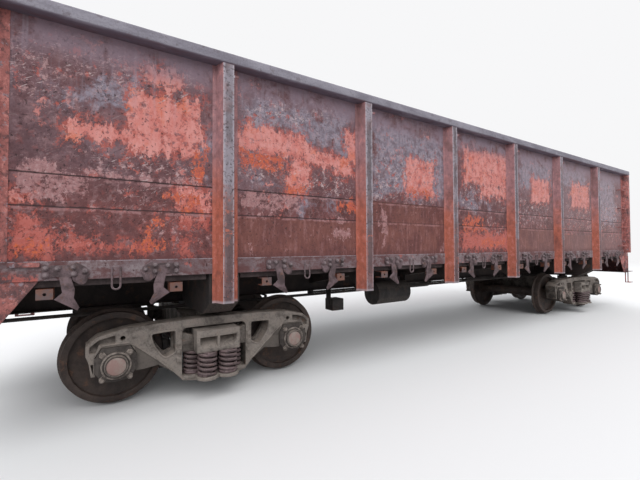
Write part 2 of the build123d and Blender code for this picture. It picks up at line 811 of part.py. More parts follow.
CYLINDER_R = 178
CYLINDER_L = 490
CYLINDER_Y = 440
CYLINDER_Z = 868
PLUNGER_R = 60
PLUNGER_L = 130
RESERVOIR_R = 185
RESERVOIR_L = 700
RESERVOIR_Y = -520
RESERVOIR_Z = 808
BRACKET_W = 120
BRACKET_HIGH_Z = 1120
BRACKET_L = 12  # thin enough for the lids to swing past
DISTRIBUTOR = (200, 200, 170)  # length, width and height
DISTRIBUTOR_Y = -540
DISTRIBUTOR_LOW_Z = 620
BEAM_FACE = 0.5 * HATCH_PITCH - CROSS_HALF  # side of the cross member nearest the wagon's middle


def brake_cylinder():
    """Cylinder lying along the wagon, its flange bolted to a bracket on the cross member."""
    back = BEAM_FACE - BRACKET_L
    y, z = CYLINDER_Y, CYLINDER_Z
    front = back - CYLINDER_L
    drum = rod((front, y, z), (back, y, z), CYLINDER_R)
    nose = rod((front - PLUNGER_L, y, z), (front, y, z), PLUNGER_R)
    half = BRACKET_W / 2
    return drum + nose + block(back, BEAM_FACE, y - half, y + half, z, BRACKET_HIGH_Z)


def air_reservoir():
    """Tank beside the cylinder, on the far side of the other middle cross member."""
    face = -BEAM_FACE - 2 * CROSS_HALF
    y, z = RESERVOIR_Y, RESERVOIR_Z
    tank = rod((face - BRACKET_L - RESERVOIR_L, y, z), (face - BRACKET_L, y, z), RESERVOIR_R)
    half = BRACKET_W / 2
    return tank + block(face - BRACKET_L, face, y - half, y + half, z, BRACKET_HIGH_Z)


def air_distributor():
    """Valve block on a bracket at the next cross member."""
    face = BEAM_FACE - 2 * HATCH_PITCH + 2 * CROSS_HALF
    length, width, height = DISTRIBUTOR
    y, z = DISTRIBUTOR_Y, DISTRIBUTOR_LOW_Z
    start = face + BRACKET_L
    valve = block(start, start + length, y - width / 2, y + width / 2, z, z + height)
    half = BRACKET_W / 2
    return valve + block(face, start, y - half, y + half, z + height / 2, BRACKET_HIGH_Z)


HANGER_BESIDE = 330  # from an end hatch's middle to the last strap
HANGERS_X = [i * HATCH_PITCH for i in range(-2, 3)]
PIPE_HANGERS_X = HANGERS_X + [-END_HATCH_X - HANGER_BESIDE, END_HATCH_X + HANGER_BESIDE]
HANGER_L = 40
HANGER_T = 12


def brake_pipe():
    """Pipe along the wagon with the straps that hang it from the centre sill's foot."""
    pipe = flat_bar((-END_SHEET_X, -PIPE_Y, PIPE_Z), (END_SHEET_X, -PIPE_Y, PIPE_Z), PIPE_R)
    half = HANGER_L / 2
    for x in PIPE_HANGERS_X:
        web_out = -SILL_WEB_Y - SILL_WEB_T
        pipe += block(x - half, x + half, -PIPE_Y, web_out, SILL_LOW_Z - HANGER_T, SILL_LOW_Z)
        pipe += block(x - half, x + half, -PIPE_Y - HANGER_T / 2, -PIPE_Y + HANGER_T / 2, PIPE_Z, SILL_LOW_Z)
    return pipe


LEVER_T = 22
LEVER_H = 60
LEVER_Y = -230  # inner end of both levers, past the centre sill
LEVER_Z = 852
TIE_Y = 40
TIE_R = 16
PULL_END_X = 0.5 * HATCH_PITCH + HATCH_PITCH + CROSS_HALF  # the pull rods end past this cross member
PULL_Z = 836
STRAP_W = 50
STRAP_T = 10


def brake_rods():
    """Two levers across the wagon, the tie between them and the pull rods towards the bogies."""
    z = LEVER_Z
    nose = BEAM_FACE - BRACKET_L - CYLINDER_L - PLUNGER_L
    back = -BEAM_FACE
    pieces = block(nose - LEVER_T, nose, LEVER_Y, CYLINDER_Y + PLUNGER_R, z - LEVER_H / 2, z + LEVER_H / 2)
    pieces += block(back, back + LEVER_T, LEVER_Y, CYLINDER_Y, z - LEVER_H / 2, z + LEVER_H / 2)
    pieces += flat_bar((back + LEVER_T / 2, TIE_Y, z), (nose - LEVER_T / 2, TIE_Y, z), TIE_R)
    y = LEVER_Y + LEVER_H
    for x, end in ((nose - LEVER_T / 2, PULL_END_X), (back, -PULL_END_X)):
        pieces += flat_bar((x, y, PULL_Z + LEVER_T), (end, y, PULL_Z + LEVER_T), TIE_R)
        near = end - STRAP_W if end > 0 else end
        for x0 in (near, near / 2):
            pieces += block(x0, x0 + STRAP_W, y - STRAP_W, y + STRAP_W, PULL_Z - STRAP_T, PULL_Z + LEVER_T)
            for side in (-1, 1):
                y0, y1 = sorted((y + side * STRAP_W, y + side * (STRAP_W - STRAP_T)))
                pieces += block(x0, x0 + STRAP_W, y0, y1, PULL_Z, SILL_LOW_Z)
    return pieces


save("brake_rods", brake_rods())
save("brake_cylinder", brake_cylinder())
save("air_reservoir", air_reservoir())
save("air_distributor", air_distributor())
save("brake_pipe", brake_pipe())

# Bogies

FRAME_HALF_T = 100
FRAME_OUTLINE = [  # x from the bogie's middle, height from the axle line; the right half
    (0, 350),
    (560, 336),
    (860, 318),
    (1075, 270),
    (1165, 195),
    (1165, 110),
    (1140, 40),
    (1122, -85),
    (1090, -85),
    (1090, 95),
    (1045, 168),
    (805, 168),
    (760, 95),
    (760, -85),
    (700, -85),
    (560, -68),
    (417, -168),
    (331, -268),
    (141, -300),
    (0, -300),
]
WINDOW_HALF = 340
WINDOW_TOP = 262
WINDOW_R = 45
SPRING_SEAT = -226
SEAT_T = 30
SIDE_WINDOW = [(400, 250), (625, 240), (622, 190), (590, 110), (520, 5), (480, -8), (400, 32)]
SIDE_WINDOW_R = 34
LIP_T = 70  # flange that narrows a side window, at the frame's inner face
LIP_WINDOW = [(420, 230), (604, 222), (600, 186), (566, 112), (508, 28), (478, 18), (420, 46)]
LIP_WINDOW_R = 20
FRAME_HOLE = (870, 234, 24)
POCKET = [(930, 272), (1066, 240), (1136, 184), (1136, 125), (1088, 125), (1060, 196), (930, 196)]
POCKET_R = 12
LEG_POCKET = [(1104, 28), (1128, 28), (1108, -62), (1104, -62)]
POCKET_DEPTH = 55
COLUMN_LUGS_Z = (128, 40, -48)  # lugs that hold the wear plates, on the frame's outer face
COLUMN_LUG_X = 350
COLUMN_LUG_L = 42
COLUMN_LUG_H = 44
COLUMN_LUG_T = 24
BOSS = (780, 246, 22)  # round boss beside the hole, standing out by BOSS_T
BOSS_T = 8
SPRING_R = 100
SPRING_GROOVE = 16
SPRING_SIDES = 8
SPRING_PITCH = 215
SPRING_ROW = 186
SPRING_TOP = 16
SPRINGS = [  # along X, across Y from the frame's middle, both in spring pitches and rows
    (-0.5, -1),
    (0.5, -1),
    (-1, 0),
    (0, 0),
    (1, 0),
    (-0.5, 1),
    (0.5, 1),
]
SPRING_TURNS = 5
BOLSTER_HALF_W = 223
BOLSTER_TOP = 236
BOLSTER_CROWN = 308
BOWL_R = 190
BOLSTER_REACH = 1250
MOUTH = [(12, 168), (190, 168), (190, 105), (150, 50), (12, 50)]  # one of the two openings in an end
MOUTH_DEPTH = 450


def side_frame(y):
    """Cast side frame about the bogie's middle: windows, end pockets and the lobed spring tray."""
    t = FRAME_HALF_T
    outwards = 1 if y > 0 else -1
    face_y = y + outwards * t
    outline = FRAME_OUTLINE + [(-x, z) for x, z in reversed(FRAME_OUTLINE[1:-1])]
    plate = across([(x, AXLE_Z + z) for x, z in outline], y - t, y + t)
    w = WINDOW_HALF
    window = [(-w, SPRING_SEAT), (w, SPRING_SEAT), (w, WINDOW_TOP), (-w, WINDOW_TOP)]
    plate -= across([(x, AXLE_Z + z) for x, z in window], y - t, y + t, WINDOW_R)
    seat = AXLE_Z + SPRING_SEAT
    plate -= block(-w, w, y - t, y + t, seat, seat + WINDOW_R)
    for end in (-1, 1):
        places = [(end * x, AXLE_Z + z) for x, z in LIP_WINDOW]
        plate -= across(places, y - t, y + t, LIP_WINDOW_R)
        lip_y = y - outwards * (t - LIP_T)
        places = [(end * x, AXLE_Z + z) for x, z in SIDE_WINDOW]
        plate -= across(places, *sorted((lip_y, face_y)), SIDE_WINDOW_R)
        for pocket, radius in ((POCKET, POCKET_R), (LEG_POCKET, 0)):
            places = [(end * x, AXLE_Z + z) for x, z in pocket]
            plate -= across(places, y + t - POCKET_DEPTH, y + t, radius)
            plate -= across(places, y - t, y - t + POCKET_DEPTH, radius)
        x, z, r = FRAME_HOLE
        plate -= flat_bar((end * x, y - t, AXLE_Z + z), (end * x, y + t, AXLE_Z + z), r)
        x, z, r = BOSS
        plate += flat_bar((end * x, face_y, AXLE_Z + z), (end * x, face_y + outwards * BOSS_T, AXLE_Z + z), r)
        for z in COLUMN_LUGS_Z:
            x0, x1 = sorted((end * COLUMN_LUG_X, end * (COLUMN_LUG_X + COLUMN_LUG_L)))
            y0, y1 = sorted((face_y, face_y + outwards * COLUMN_LUG_T))
            z0 = AXLE_Z + z - COLUMN_LUG_H / 2
            plate += block(x0, x1, y0, y1, z0, z0 + COLUMN_LUG_H)
    return plate + Pos(0, y, 0) * spring_tray()


TRAY_HALF = 325
TRAY_HALF_W = 110
TRAY_RIM = 16  # from a coil's outside to the tray's edge
TRAY_SIDES = 12


def spring_tray():
    """Floor under the springs, its long edges lobed round the coils that stand outside the frame."""
    top = AXLE_Z + SPRING_SEAT
    low = top - SEAT_T
    tray = block(-TRAY_HALF, TRAY_HALF, -TRAY_HALF_W, TRAY_HALF_W, low, top)
    for i, j in SPRINGS:
        if j:
            x, y = i * SPRING_PITCH, j * SPRING_ROW
            tray += flat_bar((x, y, low), (x, y, top), SPRING_R + TRAY_RIM, TRAY_SIDES)
            tray += block(x - SPRING_R, x + SPRING_R, min(y, 0), max(y, 0), low, top)
    return tray


def bogie_bolster():
    """Box beam across the bogie with open ends, the centre bowl and the side bearings."""
    half = [
        (0, BOLSTER_CROWN),
        (480, BOLSTER_CROWN - 8),
        (640, BOLSTER_TOP),
        (BOLSTER_REACH, BOLSTER_TOP),
        (BOLSTER_REACH, SPRING_TOP),
        (700, SPRING_TOP),
        (560, -60),
        (0, -60),
    ]
    outline = half + [(-y, z) for y, z in reversed(half[1:-1])]
    beam = along([(y, AXLE_Z + z) for y, z in outline], -BOLSTER_HALF_W, BOLSTER_HALF_W)
    for end in (-1, 1):
        y0, y1 = sorted((end * BOLSTER_REACH, end * (BOLSTER_REACH - MOUTH_DEPTH)))
        for side in (-1, 1):
            beam -= across([(side * x, AXLE_Z + z) for x, z in MOUTH], y0, y1)
        bearing = block(
            -BEARING_X,
            BEARING_X,
            end * (BEARING_Y - BEARING_W),
            end * (BEARING_Y + BEARING_W),
            AXLE_Z + BOLSTER_TOP,
            BEARING_TOP_Z,
        )
        beam += bearing
    return beam + rod((0, 0, AXLE_Z + BOLSTER_CROWN - 8), (0, 0, PIVOT_Z), BOWL_R)


def spring(turns):
    """Coil spring as an eight-sided column with a ridge for each turn."""
    half = (SPRING_TOP - SPRING_SEAT) / turns / 2
    slope = degrees(atan2(SPRING_GROOVE * cos(pi / SPRING_SIDES), half))
    upper = extrude(RegularPolygon(SPRING_R, SPRING_SIDES), half, taper=slope)
    ridge = upper + mirror(upper, Plane.XY)
    column = Pos(0, 0, half) * ridge
    for turn in range(1, turns):
        column += Pos(0, 0, half * (2 * turn + 1)) * ridge
    return Pos(0, 0, AXLE_Z + SPRING_SEAT) * column


SHOWN_SPRING = spring(SPRING_TURNS)
HIDDEN_SPRING = spring(1)


def springs(y):
    outwards = 1 if y > 0 else -1
    nest = []
    for i, j in SPRINGS:
        shown = j == outwards or i in (-1, 1)
        coil = SHOWN_SPRING if shown else HIDDEN_SPRING
        nest.append(Pos(i * SPRING_PITCH, y + j * SPRING_ROW, 0) * coil)
    return nest


WEDGE_HALF_T = 85


def wedges(y):
    """Friction wedges between the bolster's sides and the frame's columns."""
    pieces = []
    for end in (-1, 1):
        x0, x1 = BOLSTER_HALF_W, WINDOW_HALF
        outline = [(x0, 170), (x1, 215), (x1, SPRING_TOP), (x0, SPRING_TOP)]
        outline = [(end * x, AXLE_Z + z) for x, z in outline]
        pieces.append(across(outline, y - WEDGE_HALF_T, y + WEDGE_HALF_T))
    return pieces


BOX_OUTLINE = [  # x from the axle line, height above it; the right half of the axle box
    (0, 168),
    (115, 168),
    (160, 90),
    (160, -60),
    (110, -135),
    (0, -150),
]
BOX_IN_Y = 905
BOX_OUT_Y = 1150
COVER_QUARTER = [(70, 100), (98, 136), (122, 136), (136, 122), (136, 98), (100, 70)]  # one lug
COVER_R = 126
COVER_SIDES = 24
COVER_PLATE_T = 18
CAP_R = 99
CAP_T = 27
CAP_RIM = 14
CAP_HOLLOW = 5  # how far the cap's face lies inside its rim
BOX_RIB_T = 22  # rib along each side of the box, just outside the frame's leg, that guides it
BOX_RIB_OUT = 14
BOX_RIB_GAP = 4


def axle_box(x, side):
    """Axle box with a blind bore for the journal, a cover with four lugs and its round cap."""
    outline = BOX_OUTLINE + [(-px, pz) for px, pz in reversed(BOX_OUTLINE[1:-1])]
    low_y, high_y = sorted((side * BOX_IN_Y, side * BOX_OUT_Y))
    box = across([(x + px, AXLE_Z + pz) for px, pz in outline], low_y, high_y)
    right = COVER_QUARTER + [(px, -pz) for px, pz in reversed(COVER_QUARTER)]
    lugs = right + [(-px, pz) for px, pz in reversed(right)]
    plate_y = side * (BOX_OUT_Y + COVER_PLATE_T)
    low_y, high_y = sorted((side * BOX_OUT_Y, plate_y))
    cover = across([(x + px, AXLE_Z + pz) for px, pz in lugs], low_y, high_y)
    foot, plate = (x, side * BOX_OUT_Y, AXLE_Z), (x, plate_y, AXLE_Z)
    cover += flat_bar(foot, plate, COVER_R, COVER_SIDES)
    cap_y = plate_y + side * CAP_T
    cap = flat_bar(plate, (x, cap_y, AXLE_Z), CAP_R, COVER_SIDES)
    floor = (x, cap_y - side * CAP_HOLLOW, AXLE_Z)
    cap -= flat_bar(floor, (x, cap_y, AXLE_Z), CAP_R - CAP_RIM, COVER_SIDES)
    rib_y = FRAME_Y + FRAME_HALF_T + BOX_RIB_GAP
    y0, y1 = sorted((side * rib_y, side * (rib_y + BOX_RIB_T)))
    half = BOX_OUTLINE[2][0] + BOX_RIB_OUT
    cover += block(x - half, x + half, y0, y1, AXLE_Z + BOX_OUTLINE[3][1], AXLE_Z + BOX_OUTLINE[2][1])
    bore = flat_bar(
        (x, 0, AXLE_Z), (x, side * (AXLE_LENGTH / 2 + 1), AXLE_Z), JOURNAL_R + JOURNAL_GAP, across_flats=True
    )
    return box + cover + cap - bore


SHOE_GAP = 8
SHOE_T = 50
SHOE_HALF_H = 150
BEAM_BAR_W = 70
BEAM_BAR_H = 60
BEAM_BAR_Z = -40  # the bar's middle, from the axle line
BEAM_BACK = 80  # from a tread's face to the bar


def brake_beam(end):
    """Bar across the bogie from side frame to side frame, with a shoe at each wheel."""
    axle = end * WHEELBASE / 2
    face_r = WHEEL_R + SHOE_GAP
    x_face = axle - end * face_r
    x0 = x_face - end * BEAM_BACK
    z = AXLE_Z + BEAM_BAR_Z
    reach = FRAME_Y - FRAME_HALF_T
    bar = block(x0, x0 - end * BEAM_BAR_W, -reach, reach, z - BEAM_BAR_H / 2, z + BEAM_BAR_H / 2)
    for side in (-1, 1):
        y0, y1 = side * (WHEEL_IN_Y + 50), side * (WHEEL_IN_Y + WHEEL_W - 10)
        ring = rod((axle, y0, AXLE_Z), (axle, y1, AXLE_Z), face_r + SHOE_T)
        ring -= rod((axle, y0, AXLE_Z), (axle, y1, AXLE_Z), face_r)
        keep = block(x_face + end * 60, x_face - end * 60, y0, y1, z - SHOE_HALF_H, z + SHOE_HALF_H)
        bar += ring & keep
        bar += block(x_face - end * (SHOE_T - 5), x0, y0, y1, z - BEAM_BAR_H / 2, z + BEAM_BAR_H / 2)
    return bar


HUB_R = 135
HUB_IN_Y = WHEEL_IN_Y - 30
HUB_OUT_Y = WHEEL_IN_Y + WHEEL_W + 20
AXLE_R = 97
RIM_IN_R = 385
WEB_IN_Y = WHEEL_IN_Y + 52
WEB_T = 26
WEB_SIDES = 24  # the web's edges at the hub and under the rim are prisms
FLANGE_TIP_T = 16
FLANGE_ROOT_T = 36


def wheel(x, side):
    """Rolled wheel: flange, worn tread, web and hub, bored for the axle."""
    y0 = WHEEL_IN_Y
    y1 = WHEEL_IN_Y + WHEEL_W
    profile = [
        (AXLE_R, y0),
        (WHEEL_R + FLANGE_H, y0),
        (WHEEL_R + FLANGE_H, y0 + FLANGE_TIP_T),
        (WHEEL_R, y0 + FLANGE_ROOT_T),
        (WHEEL_R, y1),
        (AXLE_R, y1),
    ]
    disc = revolve(make_face(Polyline(*[(r, side * y) for r, y in profile], close=True)), Axis.Y)
    for start, end in ((y0, WEB_IN_Y), (WEB_IN_Y + WEB_T, y1)):
        start, end = (0, side * start, 0), (0, side * end, 0)
        dish = flat_bar(start, end, RIM_IN_R, WEB_SIDES)
        disc -= dish - flat_bar(start, end, HUB_R, WEB_SIDES)
    for start, end in ((HUB_IN_Y, y0), (y1, HUB_OUT_Y)):
        start, end = (0, side * start, 0), (0, side * end, 0)
        disc += flat_bar(start, end, HUB_R, WEB_SIDES) - rod(start, end, AXLE_R)
    return Pos(x, 0, AXLE_Z) * disc


def axle(x):
    half = [
        (JOURNAL_R, AXLE_LENGTH / 2),
        (JOURNAL_R, HUB_OUT_Y),
        (AXLE_R, HUB_OUT_Y),
    ]
    profile = [(0, AXLE_LENGTH / 2)] + half + [(r, -y) for r, y in reversed(half)] + [(0, -AXLE_LENGTH / 2)]
    return Pos(x, 0, AXLE_Z) * revolve(make_face(Polyline(*profile, close=True)), Axis.Y)


for bogie, x0 in (("front", -BOGIE_X), ("rear", BOGIE_X)):
    place = Pos(x0, 0, 0)
    sides = (-FRAME_Y, FRAME_Y)
    axles = (-WHEELBASE / 2, WHEELBASE / 2)
    save(f"side_frames_{bogie}", [place * side_frame(y) for y in sides])
    save(f"bolster_{bogie}", place * bogie_bolster())
    save(f"springs_{bogie}", [place * s for y in sides for s in springs(y)])
    save(f"wedges_{bogie}", [place * w for y in sides for w in wedges(y)])
    save(f"axle_boxes_{bogie}", [place * axle_box(x, s) for x in axles for s in (-1, 1)])
    save(f"brake_beams_{bogie}", [place * brake_beam(end) for end in (-1, 1)])
    for number, x in enumerate(axles, 1):
        save(f"wheels_{bogie}_{number}", [place * wheel(x, s) for s in (-1, 1)])
        save(f"axle_{bogie}_{number}", place * axle(x))
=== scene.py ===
# %% [markdown]
# # An open wagon with floor hatches
# This lesson dresses a wagon that already exists as exact solids. The solids carry the sizes, the
# joints and the weight. Here they get their paint, dirt and rust, and the small forms that a solid
# model leaves out: coiled springs, bolts, weld seams and softened casting edges.
# The frame is loaded first, because every later piece takes its place from it.

import json
from math import cos, pi, radians, sin

import bmesh
import bpy
from mathutils import Matrix, Vector


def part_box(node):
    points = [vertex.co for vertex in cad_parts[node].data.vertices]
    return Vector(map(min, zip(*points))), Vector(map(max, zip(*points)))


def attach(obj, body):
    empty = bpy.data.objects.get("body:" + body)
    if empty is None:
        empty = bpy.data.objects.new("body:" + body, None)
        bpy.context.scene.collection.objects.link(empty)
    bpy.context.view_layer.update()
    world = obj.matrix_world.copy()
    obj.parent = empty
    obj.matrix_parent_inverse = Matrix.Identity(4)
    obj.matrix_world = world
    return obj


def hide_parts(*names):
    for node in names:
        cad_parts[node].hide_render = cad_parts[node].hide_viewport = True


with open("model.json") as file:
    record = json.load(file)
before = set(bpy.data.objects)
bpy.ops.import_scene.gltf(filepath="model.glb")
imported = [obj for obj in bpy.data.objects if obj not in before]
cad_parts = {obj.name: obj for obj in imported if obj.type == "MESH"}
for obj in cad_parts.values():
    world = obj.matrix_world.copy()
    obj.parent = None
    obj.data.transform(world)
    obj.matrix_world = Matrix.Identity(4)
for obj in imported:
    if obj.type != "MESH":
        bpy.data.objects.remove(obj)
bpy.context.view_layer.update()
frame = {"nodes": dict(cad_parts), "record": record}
body_of_node = {
    node: body for body, nodes in frame["record"]["behaviour"]["bodies"].items() for node in nodes
}
print("pieces in the frame:", len(frame["nodes"]))

# %% [markdown]
# ## The camera
# The picture is taken by someone who stands beside one end of the wagon and looks along it. A wide
# lens close to the object gives the strong run of the top edge towards the far end, so the lens and
# the place matter more here than any detail. Both were worked out from points whose real places are
# known, such as post bottoms and wheel hubs. The three turns are made in the order of a tripod:
# roll the camera, tip it up, then swing it round.

# %% Camera
CAMERA_PLACE = (-5.4382, -4.9562, 1.5472)
HEADING = radians(32.559)
TILT = radians(1.271)
ROLL = radians(-0.292)
LENS_MM = 19.99


def placed(name, data):
    """A new object in the scene."""
    item = bpy.data.objects.new(name, data)
    bpy.context.scene.collection.objects.link(item)
    return item


lens = bpy.data.cameras.new("camera")
lens.lens = LENS_MM
lens.sensor_width = 36
lens.clip_start = 0.05
lens.clip_end = 300
camera = placed("camera", lens)
turn = Matrix.Rotation(-HEADING, 4, "Z") @ Matrix.Rotation(pi / 2 + TILT, 4, "X")
camera.matrix_world = Matrix.Translation(CAMERA_PLACE) @ turn @ Matrix.Rotation(ROLL, 4, "Z")
bpy.context.scene.camera = camera
print("camera height:", CAMERA_PLACE[2], "m, lens:", LENS_MM, "mm")

# %% [markdown]
# ## Tools for the finishes
# A finish is a small network of nodes. Typing each node out hides the idea of the finish behind the
# wiring, so a few helpers do the wiring: one adds a node, one makes a noise, one turns a noise into
# a mask with soft edges, and one lays one colour over another through such a mask. The output of a
# node is kept as a Value, which can be added to, multiplied and so on: a * b adds the Math node.
# Every pattern is read from Object coordinates. These are metres on this wagon, so a scale of 2
# means two blotches to the metre, and the pattern stays put when a hatch swings or a wheel turns.

# %% Node helpers
class Value:
    """The output of a node, to calculate with."""

    def __init__(self, socket):
        self.socket = socket
        self.tree = socket.id_data

    def __add__(self, other):
        return calculate("ADD", self, other)

    def __sub__(self, other):
        return calculate("SUBTRACT", self, other)

    def __rsub__(self, other):
        return calculate("SUBTRACT", other, self)

    def __mul__(self, other):
        return calculate("MULTIPLY", self, other)

    def __truediv__(self, other):
        return calculate("DIVIDE", self, other)

    def __abs__(self):
        return calculate("ABSOLUTE", self)


def add(tree, kind, sockets=None, **settings):
    """One node. A socket gets a plain value or the output of another node."""
    node = tree.nodes.new(kind)
    for name, value in settings.items():
        setattr(node, name, value)
    for name, value in (sockets or {}).items():
        if isinstance(value, Value):
            tree.links.new(value.socket, node.inputs[name])
        else:
            node.inputs[name].default_value = value
    return node


def result(tree, kind, sockets=None, output=0, **settings):
    """One node, for the sake of one of its outputs."""
    return Value(add(tree, kind, sockets, **settings).outputs[output])


def outputs(tree, kind, sockets=None):
    """One node, for the sake of several outputs, by their names."""
    return {socket.name: Value(socket) for socket in add(tree, kind, sockets).outputs}


def calculate(operation, a, b=0.0):
    tree = (a if isinstance(a, Value) else b).tree
    return result(tree, "ShaderNodeMath", {0: a, 1: b}, operation=operation)


def larger(a, b):
    return calculate("MAXIMUM", a, b)


def smaller(a, b):
    return calculate("MINIMUM", a, b)


def noise(place, scale, detail, roughness, warp=0.0):
    sockets = {"Vector": place, "Scale": scale, "Detail": detail, "Roughness": roughness, "Distortion": warp}
    return result(place.tree, "ShaderNodeTexNoise", sockets)


def stretch(place, x, y, z):
    """The same place, squeezed along an axis, so that a noise becomes streaks."""
    return result(place.tree, "ShaderNodeMapping", {"Vector": place, "Scale": (x, y, z)})


def level(value, low, high):
    """0 below low, 1 above high and a soft step between; low may be the larger one."""
    sockets = {0: value, 1: low, 2: high}
    return result(value.tree, "ShaderNodeMapRange", sockets, interpolation_type="SMOOTHSTEP")


def as_colour(value):
    return (*value, 1.0) if isinstance(value, tuple) else value


def lay(factor, under, over):
    """The colour over, laid on the colour under where factor is 1."""
    sockets = {0: factor, 6: as_colour(under), 7: as_colour(over)}
    return result(factor.tree, "ShaderNodeMix", sockets, 2, data_type="RGBA")


print("node helpers ready")

# %% [markdown]
# Every finish on this wagon ends the same way: a colour, a roughness and a fine relief go into one
# shader. The start is the same too, because each needs the place on the piece, split into its three
# directions, and which way the surface faces. So a finish gets a start and an end from these two.

# %% Start and end of a finish
SHINE = 0.35


def start_finish(name):
    """New material and what finishes read: the place, its parts x, y, z, and the way it faces."""
    material = bpy.data.materials.new(name)
    material.use_nodes = True
    tree = material.node_tree
    tree.nodes.clear()
    coordinates = outputs(tree, "ShaderNodeTexCoord")
    place = coordinates["Object"]
    parts = list(outputs(tree, "ShaderNodeSeparateXYZ", {0: place}).values())
    facing = list(outputs(tree, "ShaderNodeSeparateXYZ", {0: coordinates["Normal"]}).values())
    return material, place, parts, facing


def end_finish(colour, roughness, relief, depth):
    tree = colour.tree
    bump = result(tree, "ShaderNodeBump", {"Height": relief, "Distance": depth})
    sockets = {"Base Color": colour, "Roughness": roughness, "Normal": bump, "Specular IOR Level": SHINE}
    shader = result(tree, "ShaderNodeBsdfPrincipled", sockets)
    add(tree, "ShaderNodeOutputMaterial", {"Surface": shader})


print("start and end of a finish ready")

# %% [markdown]
# ## The floor and the light
# The wagon stands on a pale floor under an even, cloudy kind of light, as in the photograph. A
# floor that is really white throws much light back up under the wagon, where the real one is nearly
# black. So the floor shows its pale colour to the camera alone and is a mid grey for the light that
# bounces off it. Far out, its shade gives way to the white of the background, and no edge shows.

# %% Floor
FLOOR_REACH = 150.0
FLOOR_PALE = (0.80, 0.80, 0.80)
FLOOR_BOUNCE = (0.30, 0.29, 0.28)
FLOOR_FADES = (13.0, 40.0)
BACKGROUND = (0.93, 0.93, 0.94)


def seen(tree):
    """1 for what the camera sees, in gloss and glass too, and 0 for light that bounces on."""
    rays = outputs(tree, "ShaderNodeLightPath")
    return larger(larger(rays["Is Camera Ray"], rays["Is Transmission Ray"]), rays["Is Glossy Ray"])


def floor_finish():
    material, place, _, _ = start_finish("studio_floor")
    tree = place.tree
    colour = lay(seen(tree), FLOOR_BOUNCE, FLOOR_PALE)
    shade = result(tree, "ShaderNodeBsdfDiffuse", {"Color": colour})
    glow = result(tree, "ShaderNodeEmission", {"Color": as_colour(BACKGROUND)})
    distance = result(tree, "ShaderNodeVectorMath", {0: place}, "Value", operation="LENGTH")
    mixed = result(tree, "ShaderNodeMixShader", {0: level(distance, *FLOOR_FADES), 1: shade, 2: glow})
    add(tree, "ShaderNodeOutputMaterial", {"Surface": mixed})
    return material


floor_mesh = bpy.data.meshes.new("floor")
corners = [(-FLOOR_REACH, -FLOOR_REACH, 0), (FLOOR_REACH, -FLOOR_REACH, 0)]
corners += [(FLOOR_REACH, FLOOR_REACH, 0), (-FLOOR_REACH, FLOOR_REACH, 0)]
floor_mesh.from_pydata(corners, [], [(0, 1, 2, 3)])
floor_mesh.materials.append(floor_finish())
floor = placed("floor", floor_mesh)
print("floor reaches", FLOOR_REACH, "m each way")

# %% [markdown]
# The sky does most of the lighting, and two very wide suns give it a direction: the stronger one
# stands high on the camera's side, the weaker one behind. A wide sun has no hard shadow edge, like
# a soft box, but it lights the whole length of a 14 m wagon evenly, which a soft box near it can't.

# %% Light
SKY_LIGHT = (0.92, 0.95, 1.0)
SKY_STRENGTH = 0.62
SUNS = (  # name, direction towards the light, watts per square metre, width in degrees
    ("key_light", (-0.35, -0.75, 1.0), 2.1, 70),
    ("back_light", (0.5, 0.85, 0.9), 1.3, 90),
)

world = bpy.data.worlds.new("studio")
bpy.context.scene.world = world
world.use_nodes = True
studio = world.node_tree
studio.nodes.clear()
sky = {"Color": as_colour(SKY_LIGHT), "Strength": SKY_STRENGTH}
sky = result(studio, "ShaderNodeBackground", sky)
paper = result(studio, "ShaderNodeBackground", {"Color": as_colour(BACKGROUND)})
mixed = result(studio, "ShaderNodeMixShader", {0: seen(studio), 1: sky, 2: paper})
add(studio, "ShaderNodeOutputWorld", {"Surface": mixed})

for name, towards, watts, width in SUNS:
    light = bpy.data.lights.new(name, "SUN")
    light.energy = watts
    light.angle = radians(width)
    lamp = placed(name, light)
    lamp.rotation_euler = Vector(towards).to_track_quat("Z", "Y").to_euler()
bpy.context.scene.view_settings.view_transform = "Standard"
print("lights:", [name for name, *_ in SUNS])

# %% [markdown]
# ## Paint on the side walls
# The walls carry the look of this wagon. The lower sheets are brown-red, the upper ones faded to a
# dusty mauve and slate grey. Square areas were painted over again and again, older orange-red coats
# show where they flaked, and scrapes, chalky primer, speckle and dark pits lie over everything.
# One noise can't do this. Each layer of the real surface gets a layer here, in the order in which
# it came about: the ground coat, the fading, the later areas of paint, what flaked off, and the dirt.
# Areas that someone painted have a place and a size, so they are rows of a table. Each is a box on
# the wall. A place's depth inside the nearest box is a plain number of metres, and noise added to it
# makes the box's edge ragged, in upright fingers like brush strokes. The tables are given for one
# side wall. The other has the same areas, turned round, since it is the same wall. On an end wall
# the place across the wagon stands for the place along it, so it shows the middle bays' areas.

